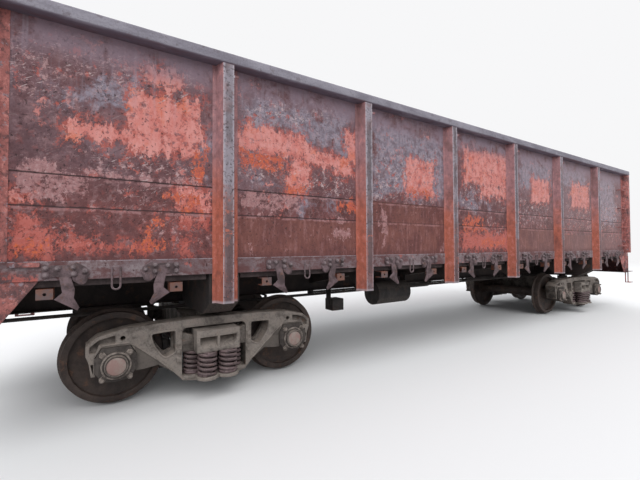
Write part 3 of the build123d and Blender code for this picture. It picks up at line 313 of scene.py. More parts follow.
# %% Areas of paint on a wall
OLD_RED_AREAS = (  # middle along the wagon, middle height, half length, half height
    (-4.88, 2.70, 0.31, 0.27),
    (-5.36, 2.53, 0.25, 0.080),
    (-5.10, 2.46, 0.12, 0.05),
    (-4.90, 3.12, 0.17, 0.09),
    (-4.63, 2.02, 0.15, 0.11),
    (-5.86, 1.61, 0.13, 0.09),
    (-5.89, 1.76, 0.06, 0.07),
    (-5.88, 1.93, 0.06, 0.04),
    (-5.56, 1.58, 0.12, 0.025),
    (-5.20, 1.56, 0.20, 0.015),
    (-4.64, 1.82, 0.10, 0.04),
    (-4.72, 1.54, 0.04, 0.06),
    (-3.78, 2.69, 0.40, 0.15),
    (-3.10, 2.60, 0.34, 0.07),
    (-2.72, 2.80, 0.08, 0.20),
    (-3.48, 2.42, 0.14, 0.16),
    (-3.52, 2.24, 0.11, 0.13),
    (-2.82, 2.50, 0.15, 0.06),
    (-1.49, 2.54, 0.29, 0.25),
    (0.13, 2.86, 0.60, 0.28),
    (0.35, 2.48, 0.36, 0.08),
    (0.11, 1.65, 0.63, 0.12),
    (1.93, 2.64, 0.34, 0.22),
    (3.65, 2.65, 0.42, 0.25),
)
ORANGE_AREAS = (
    (-4.56, 2.30, 0.06, 0.16),
    (-4.75, 2.03, 0.16, 0.03),
    (-4.66, 1.98, 0.08, 0.08),
    (-4.95, 1.81, 0.03, 0.03),
    (-5.04, 1.71, 0.02, 0.03),
    (-4.98, 1.57, 0.12, 0.03),
    (-5.86, 1.56, 0.08, 0.04),
    (-3.92, 2.48, 0.24, 0.09),
    (-3.52, 2.19, 0.11, 0.06),
    (-2.78, 2.07, 0.16, 0.06),
    (-1.48, 2.34, 0.22, 0.05),
    (-0.21, 1.92, 0.28, 0.13),
    (0.30, 1.62, 0.34, 0.06),
)
CHALK_AREAS = (
    (-5.78, 2.06, 0.14, 0.13),
    (-5.78, 2.19, 0.09, 0.05),
    (-5.55, 2.07, 0.08, 0.07),
    (-3.82, 2.05, 0.35, 0.08),
    (-2.88, 1.73, 0.16, 0.045),
    (-2.97, 1.70, 0.08, 0.05),
    (-4.04, 1.53, 0.005, 0.05),
    (-2.20, 1.90, 0.04, 0.18),
    (-2.17, 1.66, 0.03, 0.10),
    (-5.00, 2.172, 0.50, 0.022),
    (-3.90, 1.90, 0.12, 0.018),
    (-3.02, 1.875, 0.20, 0.018),
    (-1.00, 1.52, 0.05, 0.05),
    (4.10, 2.00, 0.12, 0.05),
)
SLATE_AREAS = (
    (-5.38, 2.88, 0.20, 0.10),
    (-4.51, 2.36, 0.05, 0.32),
    (-3.42, 2.98, 0.66, 0.24),
    (-3.82, 2.22, 0.20, 0.05),
    (-3.30, 2.05, 0.11, 0.08),
    (-2.98, 2.05, 0.06, 0.07),
    (-1.69, 2.72, 0.74, 0.52),
    (0.10, 3.25, 0.66, 0.12),
    (-0.20, 2.28, 0.50, 0.12),
    (1.80, 2.98, 0.60, 0.30),
    (3.30, 3.05, 0.60, 0.25),
    (5.10, 2.60, 0.50, 0.60),
)
DARK_AREAS = (  # the old mauve coat, little faded
    (-5.74, 2.48, 0.30, 0.24),
    (-5.30, 2.30, 0.45, 0.08),
    (-1.30, 2.30, 0.50, 0.06),
    (1.60, 2.35, 0.60, 0.14),
)
BROWN_PANELS = (  # repaired sheets in the newest brown, with clean edges
    (-3.44, 1.66, 0.80, 0.212),
    (-1.62, 1.79, 0.76, 0.37),
    (1.75, 1.66, 0.70, 0.23),
    (3.50, 1.60, 0.70, 0.20),
)
WORN_AREAS = (  # full of scrapes and flecks
    (-5.18, 3.08, 0.52, 0.17),
    (-5.80, 3.00, 0.18, 0.26),
    (-5.00, 2.28, 0.46, 0.12),
    (-4.98, 2.04, 0.34, 0.11),
    (-4.80, 1.74, 0.28, 0.12),
    (-5.70, 1.66, 0.26, 0.16),
    (-3.50, 3.12, 0.50, 0.12),
    (-3.10, 2.34, 0.36, 0.16),
    (-3.95, 2.42, 0.28, 0.16),
    (-1.75, 2.50, 0.60, 0.34),
    (0.05, 2.45, 0.60, 0.24),
    (0.10, 1.75, 0.64, 0.26),
    (1.60, 2.20, 0.64, 0.25),
    (3.60, 2.10, 0.64, 0.25),
    (5.20, 2.20, 0.64, 0.40),
)


def depth_inside(along, height, table):
    """How deep a place lies inside the nearest box of a table, in metres, below 0 outside."""
    deepest = -9.0
    for x, z, half_length, half_height in table:
        inside = smaller(half_length - abs(along - x), half_height - abs(height - z))
        deepest = larger(inside, deepest)
    return deepest


tables = (OLD_RED_AREAS, ORANGE_AREAS, CHALK_AREAS, SLATE_AREAS, DARK_AREAS, BROWN_PANELS, WORN_AREAS)
print("painted areas on a wall:", sum(len(table) for table in tables))

# %% [markdown]
# Flecks and scrapes need noises of their own. Flecks are a fine noise cut off high, so that only
# its peaks show. A scrape is a noise that is stretched along one direction, cut off high as well.
# Real scrapes come from grabs and chains and run every way, but mostly level, so there are two sets:
# a level one, and one that is turned on the wall by a Mapping node. Clouds do the opposite of flecks:
# they change a colour everywhere by a little, and keep any coat from looking like one flat tone.

# %% Tools for layers of paint
POST_PLACES = (0.845, 2.535, 4.325)


def centred(pattern, amount):
    """A noise as a number around 0."""
    return (pattern - 0.5) * amount


def flecks(place, scale, low, high, detail=5.0):
    return level(noise(place, scale, detail, 0.74), low, high)


def clouds(colour, pattern, amount, dark, light):
    """The colour turns darker where a pattern is low and lighter where it is high."""
    low = level(pattern, 0.50, 0.38)
    high = level(pattern, 0.51, 0.64)
    colour = lay(low * amount, colour, dark)
    return lay(high * amount, colour, light)


def turned_on_wall(place, degrees, x, z):
    turned = {"Vector": place, "Rotation": (0.0, radians(degrees), 0.0)}
    return stretch(result(place.tree, "ShaderNodeMapping", turned), x, 1.0, z)


def near(value, place, inner, outer):
    """1 at a value and 0 further away from it than outer."""
    return level(abs(value - place), outer, inner)


def from_post_middle(along):
    """Distance along the wagon from the middle of the nearest post."""
    distance = abs(along)
    nearest = 9.0
    for x in POST_PLACES:
        nearest = smaller(abs(distance - x), nearest)
    return nearest


print("tools for layers of paint ready")

# %% [markdown]
# The colours come next, each a name for one coat as it looks in the picture. Brown-red, red and
# mauve are paint, slate and violet are what the weather made of it, chalk is the primer below.

# %% Colours of the walls
MAROON_DARK = (0.090, 0.034, 0.035)
MAROON = (0.190, 0.066, 0.063)
PANEL_BROWN = (0.200, 0.075, 0.062)
PANEL_DARK = (0.140, 0.050, 0.046)
BROWN_MAUVE = (0.155, 0.075, 0.082)
DARK_MAUVE = (0.105, 0.052, 0.060)
MAUVE_GREY = (0.182, 0.094, 0.106)
SLATE = (0.240, 0.212, 0.262)
SLATE_PALE = (0.345, 0.315, 0.380)
DUSTY_PINK = (0.370, 0.225, 0.235)
TOP_VIOLET = (0.285, 0.208, 0.252)
OLD_RED = (0.640, 0.215, 0.185)
OLD_PINK = (0.700, 0.300, 0.270)
OLD_DEEP = (0.450, 0.105, 0.082)
OLD_ORANGE = (0.660, 0.150, 0.060)
CHALK = (0.420, 0.215, 0.215)
CHALK_WHITE = (0.620, 0.490, 0.490)
PIT = (0.040, 0.022, 0.024)
SEAM_SHADE_AND_DIRT = (0.035, 0.018, 0.020)
INSIDE_RUST = (0.150, 0.075, 0.048)
INSIDE_DARK = (0.060, 0.036, 0.030)
INSIDE_HEAT = (0.270, 0.125, 0.060)
SCRAPED_STEEL = (0.300, 0.262, 0.245)
print("rust and bare steel inside:", INSIDE_RUST, SCRAPED_STEEL)

# %% [markdown]
# All layers of the outside read the same few things, so these are made once: where a place is along
# the wall and above the rails, and noises from broad to fine. Two sums of noises make the edges of
# the areas ragged: a narrow one for paint that flaked off, and a wide one for paint that faded.

# %% Places and noises on a wall
END_SHEET_X = 6.110
END_SHEET_T = 0.005


class Wall:
    """Places on a wall, and the noises that its layers share."""

    def __init__(self, place, parts):
        along_side = calculate("SIGN", parts[1]) * -1.0 * parts[0]
        at_end = calculate("GREATER_THAN", abs(parts[0]), END_SHEET_X - 2 * END_SHEET_T)
        self.place = place
        self.along = along_side + at_end * (parts[1] - along_side)
        self.height = parts[2]
        self.broad = noise(place, 1.1, 5, 0.55)
        self.blotch = noise(place, 3.2, 9, 0.70, 0.4)
        self.middling = noise(place, 11.0, 9, 0.74, 0.2)
        self.grain = noise(place, 34.0, 8, 0.76)
        self.strokes = noise(stretch(place, 2.2, 1.0, 0.8), 5.0, 9, 0.74)
        self.brushed = noise(stretch(place, 6.0, 1.0, 1.2), 4.0, 8, 0.7)
        self.ragged = centred(self.strokes, 0.50) + centred(self.grain, 0.22)
        self.wide = self.ragged + centred(self.blotch, 1.1)

    def inside(self, table):
        return depth_inside(self.along, self.height, table)


print("places and noises of the walls ready")

# %% [markdown]
# The coats are laid on in their order in time. First comes the ground coat, brown-red below and
# mauve above, with areas that stayed dark and areas that faded to slate. Where the wall is worn,
# three kinds of flecks lie over it. The repaired sheets are newer, so they cover all that.

# %% Ground coat, flecks and repaired sheets
def faded_coat(wall):
    lower = lay(level(wall.blotch, 0.36, 0.62), MAROON_DARK, MAROON)
    upper = lay(level(wall.blotch, 0.38, 0.60), BROWN_MAUVE, MAUVE_GREY)
    upper = lay(level(wall.broad, 0.48, 0.62) * 0.25, upper, SLATE_PALE)
    rise = wall.height + centred(wall.blotch, 0.6)
    colour = lay(level(rise, 1.86, 2.40), lower, upper)
    patches = level(wall.middling, 0.42, 0.62)
    dark = level(wall.inside(DARK_AREAS) + wall.wide, -0.05, 0.12) * 0.8
    colour = lay(dark, colour, lay(patches, DARK_MAUVE, BROWN_MAUVE))
    slate = level(wall.inside(SLATE_AREAS) + wall.wide, -0.03, 0.12) * 0.88
    colour = lay(slate, colour, lay(patches, SLATE, SLATE_PALE))
    colour = clouds(colour, wall.middling, 0.38, MAROON_DARK, DUSTY_PINK)
    return clouds(colour, wall.brushed, 0.25, MAROON_DARK, BROWN_MAUVE)


def flecked(wall, colour, worn):
    dark = flecks(stretch(wall.place, 1.0, 1.0, 1.8), 20.0, 0.54, 0.58, 6.0)
    colour = lay(dark * worn * 0.62, colour, MAROON_DARK)
    reddish = flecks(wall.place, 14.0, 0.56, 0.60, 9.0)
    colour = lay(reddish * worn * 0.85, colour, OLD_DEEP)
    pale = flecks(wall.place, 26.0, 0.535, 0.58) * level(wall.middling, 0.46, 0.56)
    whiter = level(wall.height, 1.8, 2.2) * level(wall.along, -5.4, -4.0)
    tone = lay(whiter * 0.6 + 0.25, CHALK, CHALK_WHITE)
    return lay(pale * worn * 0.85, colour, tone)


def repaired(wall, colour):
    """The colour with the repaired sheets on it, and a mask of where they are."""
    panels = level(wall.inside(BROWN_PANELS) + centred(wall.grain, 0.02), 0.0, 0.008)
    tone = lay(level(wall.blotch, 0.38, 0.62), PANEL_DARK, PANEL_BROWN)
    tone = clouds(tone, wall.brushed, 0.30, MAROON_DARK, CHALK)
    tone = lay(flecks(wall.place, 18.0, 0.60, 0.64, 8.0) * 0.6, tone, CHALK)
    tone = lay(flecks(wall.place, 30.0, 0.60, 0.64) * 0.6, tone, PIT)
    return lay(panels, colour, tone), panels


print("ground coat, flecks and repaired sheets ready")

# %% [markdown]
# Where the newer coats flaked off, the older ones look out: red, then orange, then chalky primer.
# Each has its table of areas and its own raggedness. Some red also shows outside the areas, where a
# noise says so, but never on a repaired sheet.

# %% Older coats
def old_coats(wall, colour, panels):
    """The colour with the older coats on it, and a mask of where the red one is."""
    red_depth = wall.inside(OLD_RED_AREAS) + wall.ragged
    around = level(red_depth, -0.10, -0.01) * flecks(wall.place, 19.0, 0.49, 0.53, 8.0)
    colour = lay(around * 0.85, colour, OLD_DEEP)
    loose = level(noise(wall.place, 4.4, 9, 0.78), 0.59, 0.62)
    loose = loose * level(wall.broad, 0.44, 0.58) * (1.0 - panels)
    old = larger(level(red_depth, 0.0, 0.010), loose * 0.85)
    holes = flecks(wall.place, 15.0, 0.595, 0.56, 9.0)
    old = old * (holes * 0.75 + 0.25)
    red = lay(level(wall.strokes, 0.42, 0.60), OLD_RED, OLD_PINK)
    red = clouds(red, wall.middling, 0.75, OLD_DEEP, OLD_PINK)
    red = lay(level(wall.blotch, 0.54, 0.66) * 0.6, red, OLD_ORANGE)
    red = lay(level(wall.height, 1.95, 1.75) * 0.80, red, OLD_DEEP)
    colour = lay(old, colour, red)
    orange = level(wall.inside(ORANGE_AREAS) + wall.ragged, 0.0, 0.012)
    orange = orange * level(wall.middling, 0.42, 0.50)
    colour = lay(orange, colour, lay(level(wall.grain, 0.44, 0.60), OLD_DEEP, OLD_ORANGE))
    chalk = level(wall.inside(CHALK_AREAS) + wall.ragged * 0.7, 0.0, 0.010)
    chalk = chalk * level(wall.middling, 0.40, 0.50)
    chalky = clouds(CHALK, wall.grain, 0.5, BROWN_MAUVE, CHALK_WHITE)
    return lay(chalk * 0.85, colour, chalky), old


print("older coats ready")

# %% [markdown]
# Use and weather come last. Scrapes run level and slanting, pits are small and dark, rain has left
# pale runs below the chord and a violet bloom at the top, and dirt splashes up at the foot. The wall
# also gets a painted sheen: it turns a little paler towards its far end, as the camera sees it. The
# band is set back from the sheets, so a painted shade, with dirt in the joint, runs in the gap along
# both its edges, and below each gap a rim has a painted highlight mixed with chalky primer.

# %% Scrapes, weather and the band's gaps
BAND_EDGES = (1.887, 2.147)
RIM_BELOW_GAP = 0.020


def scraped(wall, colour, worn):
    lengthwise = noise(stretch(wall.place, 2.5, 2.5, 17.0), 3.0, 9, 0.76, 0.5)
    slanting = noise(turned_on_wall(wall.place, 35.0, 3.5, 17.0), 4.0, 9, 0.76, 0.6)
    scrapes = larger(level(lengthwise, 0.60, 0.64) * 0.6, level(slanting, 0.58, 0.62)) * worn
    scrapes = scrapes * (level(wall.height, 1.8, 2.2) * 0.6 + 0.4)
    return lay(scrapes * 0.8, colour, CHALK_WHITE)


def weathered(wall, colour, pits):
    colour = lay(pits * 0.85, colour, PIT)
    runs = noise(stretch(wall.place, 9.0, 9.0, 0.5), 2.0, 6, 0.6)
    runs = level(runs, 0.50, 0.70) * level(wall.height, 2.4, 3.3)
    colour = lay(runs * 0.45, colour, SLATE_PALE)
    top = level(wall.height, 3.00, 3.26) * level(wall.blotch, 0.34, 0.52)
    colour = lay(top * 0.80, colour, TOP_VIOLET)
    # Painted sheen: the wall turns a little paler towards its far end.
    far_sheen = level(wall.along, -1.0, 5.0)
    colour = lay(far_sheen * 0.16, colour, CHALK_WHITE)
    foot = level(wall.height, 1.54, 1.46) * level(wall.blotch, 0.35, 0.60)
    return lay(foot * 0.6, colour, MAROON_DARK)


def band_gaps(wall, colour, panels):
    # A painted shade in the gaps, with dirt in the joints, and a painted highlight mixed with chalky primer
    # on the rims below them.
    shaded_gaps, lit_chalky_rims = 0.0, 0.0
    wavy = wall.height + centred(wall.middling, 0.022)
    for edge in BAND_EDGES:
        shaded_gaps = larger(near(wavy, edge, 0.003, 0.009), shaded_gaps)
        lit_chalky_rims = larger(near(wavy, edge - RIM_BELOW_GAP, 0.004, 0.018), lit_chalky_rims)
    lit_chalky_rims = lit_chalky_rims * level(wall.middling, 0.44, 0.56)
    colour = lay(lit_chalky_rims * 0.55, colour, CHALK)
    shaded_gaps = shaded_gaps * (1.0 - panels * 0.6)
    return lay(shaded_gaps * 0.9, colour, SEAM_SHADE_AND_DIRT)


print("gaps along the band at heights:", BAND_EDGES)

# %% [markdown]
# An outside face is told from an inside one by its direction on the side walls, and by its place at
# the ends, where the sheet is 5 mm thick. The inside has no paint left, so it gets its own short
# list: brown rust, long scrapes, and a warm line where each post is welded on from behind.

# %% Wall paint
POST_FOOT_MIDDLE = 0.120


def outside_layers(place, parts):
    """Colour, roughness and relief of the outside."""
    wall = Wall(place, parts)
    worn = level(wall.inside(WORN_AREAS) + wall.wide, -0.06, 0.06) * 0.80 + 0.20
    pits = flecks(place, 40.0, 0.60, 0.635)
    colour, panels = repaired(wall, flecked(wall, faded_coat(wall), worn))
    colour, old = old_coats(wall, colour, panels)
    colour = weathered(wall, scraped(wall, colour, worn), pits)
    relief = old * 0.35 + wall.grain * 0.40 - pits * 0.4 + wall.blotch * 1.2
    return band_gaps(wall, colour, panels), wall.grain * 0.28 + 0.60, relief


def inside_layers(place, parts):
    """The load has scoured the inside to brown rust with long scrapes of bare steel."""
    blotch = noise(place, 2.6, 8, 0.7, 0.4)
    middling = noise(place, 12.0, 8, 0.74)
    colour = lay(level(blotch, 0.36, 0.62), INSIDE_DARK, INSIDE_RUST)
    colour = clouds(colour, middling, 0.5, INSIDE_DARK, INSIDE_RUST)
    foot = near(from_post_middle(parts[0]), POST_FOOT_MIDDLE, 0.004, 0.030)
    foot = foot * level(middling, 0.40, 0.60)
    colour = lay(foot * 0.7, colour, INSIDE_HEAT)
    scrapes = noise(stretch(place, 0.9, 0.9, 14.0), 3.5, 8, 0.7, 0.4)
    slanting = noise(turned_on_wall(place, -50.0, 1.5, 14.0), 3.0, 8, 0.72, 0.4)
    scrapes = larger(level(scrapes, 0.55, 0.64), level(slanting, 0.57, 0.62))
    colour = lay(scrapes * 0.65, colour, SCRAPED_STEEL)
    low = level(parts[2], 1.9, 1.4)
    return lay(low * 0.7, colour, INSIDE_DARK)


def wall_paint():
    material, place, parts, facing = start_finish("wall_paint")
    colour, rough, relief = outside_layers(place, parts)
    end = abs(parts[0])
    outward = calculate("GREATER_THAN", facing[1] * parts[1], 0.0)
    outward = outward * calculate("LESS_THAN", end, END_SHEET_X - 2 * END_SHEET_T)
    outward = larger(outward, calculate("GREATER_THAN", end, END_SHEET_X - END_SHEET_T / 2))
    inner = inside_layers(place, parts)
    end_finish(lay(outward, inner, colour), rough, relief, 0.004)
    return material


finishes = {"wall_paint": wall_paint()}
print("wall paint mixed, nodes:", len(finishes["wall_paint"].node_tree.nodes))

# %% [markdown]
# ## Posts and gussets
# The posts are pressed to a hat shape. Their flanks kept more of the orange-red coat, brightest near
# the foot. The flat face is grey where hands and chains polished its two edges, with a dark, rough
# strip down the middle. The object-space normal tells face from flank, and the distance from the
# nearest post's middle gives the strip, so one finish serves twelve posts and no seam has to line up.
# Beyond the last post the same finish turns into the scraped red of the corner posts and gussets.

# %% Post paint
FLANK_RED = (0.450, 0.130, 0.085)
FLANK_DUSTY = (0.310, 0.172, 0.190)
FLANK_BROWN = (0.130, 0.058, 0.054)
FACE_GREY = (0.320, 0.285, 0.325)
FACE_DARK = (0.060, 0.040, 0.044)
FACE_BROWN = (0.275, 0.155, 0.155)
EDGE_PALE = (0.480, 0.450, 0.495)
PLATE_BROWN = (0.130, 0.080, 0.082)
CORNER_RED = (0.400, 0.140, 0.125)
CORNER_BROWN = (0.105, 0.055, 0.058)
CORNERS_START = 5.60
FOOT_PLATE_MIDDLE = 1.458
POST_LIP_Z = (1.045, 1.022)
FACE_ENDS = (0.064, 0.058)  # from the post's middle, as are the next two
RIM_STARTS = (0.043, 0.050)
FOOT_PLATE_ENDS = (0.043, 0.038)


def post_paint():
    material, place, parts, facing = start_finish("post_paint")
    height = parts[2]
    upright = stretch(place, 1.0, 1.0, 0.7)
    broad = noise(upright, 2.0, 6, 0.6)
    blotch = noise(place, 4.0, 8, 0.68, 0.3)
    middling = noise(upright, 15.0, 9, 0.75)
    grain = noise(place, 36.0, 8, 0.76)
    rise = height + centred(blotch, 1.2)
    flank = lay(level(rise, 1.80, 2.70) * 0.9, FLANK_RED, FLANK_DUSTY)
    flank = clouds(flank, middling, 0.42, FLANK_BROWN, OLD_PINK)
    flank = lay(level(broad, 0.53, 0.62) * 0.5, flank, FLANK_BROWN)
    off = from_post_middle(parts[0])
    strip = level(off + centred(middling, 0.09), 0.038, 0.026)
    strip = strip * level(broad, 0.66, 0.44)
    face = lay(level(rise, 2.4, 1.6), FACE_GREY, FACE_BROWN)
    face = clouds(face, blotch, 0.6, FACE_BROWN, FACE_GREY)
    face = lay(strip * 0.68, face, FACE_DARK)
    face = lay(level(grain, 0.53, 0.59) * 0.7, face, FACE_DARK)
    rim = level(off, *RIM_STARTS) * level(grain, 0.60, 0.50)
    face = lay(rim * 0.8, face, EDGE_PALE)
    keep = level(noise(place, 7.0, 9, 0.75), 0.57, 0.60)
    keep = keep * level(height, 2.6, 1.6)
    face = lay(keep * 0.85, face, FLANK_RED)
    plate = near(height, FOOT_PLATE_MIDDLE, 0.225, 0.232) * level(off, *FOOT_PLATE_ENDS)
    face = lay(plate * 0.6, face, PLATE_BROWN)
    flat = level(abs(facing[1]), 0.90, 0.97)
    flat = flat * level(off, *FACE_ENDS)
    colour = lay(flat, flank, face)
    kept = blotch + level(height, 1.40, 1.50) * 0.08
    corner = lay(level(kept, 0.42, 0.57), CORNER_BROWN, CORNER_RED)
    corner = clouds(corner, middling, 0.70, CORNER_BROWN, OLD_PINK)
    corner = lay(flecks(place, 22.0, 0.55, 0.59) * 0.7, corner, CORNER_BROWN)
    corner = lay(flecks(place, 16.0, 0.58, 0.61, 8.0) * 0.7, corner, FACE_GREY)
    outer = level(abs(parts[0]), CORNERS_START, CORNERS_START + 0.01)
    colour = lay(outer, colour, corner)
    pits = level(grain, 0.61, 0.65)
    colour = lay(pits * 0.85, colour, PIT)
    lip = level(height, *POST_LIP_Z) * (1.0 - outer)
    colour = lay(lip * 0.6, colour, EDGE_PALE)
    relief = grain * 0.5 - pits * 0.5
    relief = relief + middling * 0.8
    end_finish(colour, 0.68, relief, 0.003)
    return material


finishes["post_paint"] = post_paint()
print("post paint mixed")

# %% [markdown]
# ## Chord and sill
# The top chord weathers to a chalky blue-grey with a fine grain, and its underside has a painted shade.
# The side sill is the most knocked-about strip of the wagon: brown-red with grey smears, a painted
# highlight along its top edge, and red again round the gussets at the ends.

# %% Chord and sill paint
CHORD_GREY = (0.205, 0.190, 0.228)
CHORD_PALE = (0.315, 0.298, 0.345)
CHORD_BROWN = (0.130, 0.100, 0.112)
CHORD_UNDER_SHADE = (0.160, 0.130, 0.172)
SILL_DUST = (0.175, 0.125, 0.135)
SILL_PALE = (0.275, 0.226, 0.238)
SILL_MAROON = (0.125, 0.055, 0.055)
GUSSET_STARTS = 5.78
SILL_TOP_HIGHLIGHT_Z = (1.444, 1.451)


def chord_paint():
    material, place, _, facing = start_finish("chord_paint")
    blotch = noise(stretch(place, 1.0, 3.0, 3.0), 2.0, 8, 0.66, 0.3)
    grain = noise(place, 60.0, 8, 0.78)
    colour = lay(level(blotch, 0.38, 0.62), CHORD_GREY, CHORD_PALE)
    colour = clouds(colour, grain, 0.40, CHORD_BROWN, CHORD_PALE)
    dirt = flecks(place, 12.0, 0.57, 0.62, 8.0) * 0.5
    colour = lay(dirt, colour, CHORD_BROWN)
    # Painted shade on the faces that look down.
    low = level(facing[2], -0.2, -0.7)
    under = clouds(CHORD_UNDER_SHADE, blotch, 0.5, BROWN_MAUVE, SLATE_PALE)
    colour = lay(low * 0.95, colour, under)
    end_finish(colour, 0.75, grain, 0.003)
    return material


def sill_paint():
    material, place, parts, _ = start_finish("sill_paint")
    blotch = noise(stretch(place, 1.0, 1.0, 2.5), 4.0, 9, 0.72, 0.4)
    middling = noise(place, 12.0, 9, 0.75, 0.3)
    grain = noise(place, 34.0, 8, 0.76)
    colour = lay(level(blotch, 0.40, 0.60), SILL_MAROON, SILL_DUST)
    smear = noise(stretch(place, 1.0, 1.0, 1.6), 1.6, 8, 0.72)
    colour = lay(level(smear, 0.50, 0.57) * 0.85, colour, SILL_PALE)
    colour = clouds(colour, middling, 0.55, SILL_MAROON, SILL_PALE)
    red = level(noise(place, 6.0, 9, 0.77), 0.59, 0.63)
    colour = lay(red * 0.7, colour, OLD_DEEP)
    colour = lay(level(grain, 0.53, 0.60) * 0.6, colour, SILL_MAROON)
    end = level(abs(parts[0]), GUSSET_STARTS, GUSSET_STARTS + 0.03)
    end = end * level(parts[2], 1.40, 1.32)
    scraped = lay(level(middling, 0.46, 0.54), CORNER_BROWN, OLD_DEEP)
    colour = lay(end * 0.85, colour, scraped)
    pits = level(grain, 0.61, 0.66)
    colour = lay(pits * 0.85, colour, PIT)
    # Painted highlight along the sill's top edge.
    top = level(parts[2], *SILL_TOP_HIGHLIGHT_Z) * level(middling, 0.42, 0.52)
    colour = lay(top * 0.7, colour, EDGE_PALE)
    relief = grain + middling - pits
    end_finish(colour, 0.75, relief, 0.003)
    return material


finishes["chord_paint"] = chord_paint()
finishes["sill_paint"] = sill_paint()
print("chord and sill paint mixed")

# %% [markdown]
# ## Steel under the floor
# Brake dust, oil and soot turn everything under the floor nearly black, with brown dust on what
# looks up. These finishes differ in tone and grain only, so one function mixes them all from a row
# of a table: a dark tone, a light tone, the dust that settles on top, the size of the grain and how
# rusty it is.

# %% Grimy steel
RUST = (0.190, 0.085, 0.045)
GRIMY = (  # slot, dark tone, light tone, dust on top, blotches to the metre, rust share, roughness
    ("underframe_paint", (0.022, 0.018, 0.018), (0.050, 0.037, 0.034), (0.110, 0.085, 0.075), 3.0, 0.3, 0.80),
    ("lock_steel", (0.060, 0.040, 0.042), (0.175, 0.120, 0.130), (0.260, 0.205, 0.210), 9.0, 0.5, 0.70),
    ("coupler_steel", (0.050, 0.036, 0.032), (0.120, 0.080, 0.062), (0.150, 0.110, 0.090), 6.0, 0.7, 0.62),
    ("brake_paint", (0.020, 0.018, 0.018), (0.055, 0.046, 0.043), (0.120, 0.100, 0.090), 5.0, 0.2, 0.70),
    ("bogie_cast", (0.055, 0.046, 0.041), (0.200, 0.172, 0.153), (0.290, 0.242, 0.208), 7.0, 0.45, 0.82),
    ("spring_steel", (0.040, 0.026, 0.028), (0.150, 0.100, 0.108), (0.190, 0.140, 0.135), 12.0, 0.3, 0.55),
    ("wheel_steel", (0.028, 0.020, 0.018), (0.066, 0.047, 0.040), (0.090, 0.065, 0.055), 5.0, 0.5, 0.66),
)
# Outermost faces get a lighter tone than the forms behind them, a painted light.
LIT_OUTER_FACES = {  # slot: how far from the wagon's middle its outermost forms begin, and their tone
    "lock_steel": (1.4815, (0.300, 0.245, 0.255)),
    "bogie_cast": (1.116, (0.290, 0.252, 0.225)),
}
ARM_FROM_X = 4.325
ARM_POINT = (0.571, 0.453)
ARM_SLOPE = 0.90
WEB_STARTS_X = (0.43, 0.47)
WEB_ENDS_X = (0.775, 0.765)


def worn_and_lit_edges(facing, pattern):
    """1 where a surface faces between two directions, on the bevelled edges of a casting: worn paint and a
    painted highlight.
    """
    straight = larger(larger(abs(facing[0]), abs(facing[1])), abs(facing[2]))
    return level(straight, 0.97, 0.86) * level(pattern, 0.60, 0.46)


def dust_on_top(facing, pattern):
    """1 where dust settles, on surfaces that look upwards."""
    return level(facing[2], 0.35, 0.9) * level(pattern, 0.30, 0.55)


def shade_under_arm(parts, pattern):
    """1 on the web below a side frame's sloping arm, for a painted shade in the recess there."""
    from_middle = abs(abs(parts[0]) - ARM_FROM_X)
    slope = (from_middle - ARM_POINT[0]) * ARM_SLOPE
    above = parts[2] - ARM_POINT[1] - slope + centred(pattern, 0.04)
    web = level(above, 0.004, -0.012) * level(from_middle, *WEB_STARTS_X)
    return web * level(from_middle, *WEB_ENDS_X)


def grimy_steel(slot, dark, light, dust, scale, rust_share, roughness):
    material, place, parts, facing = start_finish(slot)
    blotch = noise(place, scale, 9, 0.68, 0.4)
    grain = noise(place, 55.0, 7, 0.7)
    colour = lay(level(blotch, 0.36, 0.64), dark, light)
    rusty = level(noise(place, scale * 1.7, 9, 0.72), 0.54, 0.68) * rust_share
    colour = lay(rusty, colour, RUST)
    colour = lay(dust_on_top(facing, blotch) * 0.85, colour, dust)
    speck = level(grain, 0.58, 0.64)
    colour = lay(speck * 0.6, colour, dark)
    # Bevelled edges lighter: wear and a painted highlight.
    colour = lay(worn_and_lit_edges(facing, grain) * 0.55, colour, dust)
    # Painted light: the outermost faces are lighter than what lies behind them.
    if slot in LIT_OUTER_FACES:
        start, tone = LIT_OUTER_FACES[slot]
        out = level(abs(parts[1]), start, start + 0.0015)
        mottled = clouds(clouds(tone, blotch, 0.5, dark, dust), grain, 0.4, dark, dust)
        colour = lay(out * 0.70, colour, mottled)
    if slot == "bogie_cast":
        # Painted shade on the web below the sloping arm.
        colour = lay(shade_under_arm(parts, blotch) * 0.6, colour, dark)
    relief = grain * 0.6 + blotch * 0.8
    end_finish(colour, roughness, relief, 0.003)
    return material


for row in GRIMY:
    finishes[row[0]] = grimy_steel(*row)
print("grimy steels mixed:", len(GRIMY))

# %% [markdown]
# An axle box has a story to tell: hands that feel for heat keep its cap clean, and grease and dust
# gather in the grooves round it, darkened further by a painted shade, as is the box behind its front.
# The distance from the axle line draws that, one ring after another.

# %% Axle box paint
AXLES_X = (3.400, 5.250)
AXLE_HEIGHT = 0.471
BOX_DARK = (0.095, 0.077, 0.069)
BOX_LIGHT = (0.320, 0.272, 0.240)
CAP_PINK = (0.300, 0.190, 0.172)
BOX_DUST = (0.230, 0.185, 0.150)
GREASE_AND_SHADE = (0.022, 0.018, 0.017)
CAP_EDGE_R = (0.084, 0.078)
CAP_FROM_Y = (1.160, 1.166)
BACK_SHADE_FROM_Y = (1.160, 1.153)
GROOVES = ((0.086, 0.010, 0.8), (0.104, 0.012, 0.9), (0.134, 0.014, 0.6))  # radius, width, share


def from_axle_line(parts):
    """Distance from the nearest axle's line, in metres."""
    distance = abs(parts[0])
    along = 9.0
    for x in AXLES_X:
        along = smaller(abs(distance - x), along)
    up = parts[2] - AXLE_HEIGHT
    return calculate("SQRT", along * along + up * up)


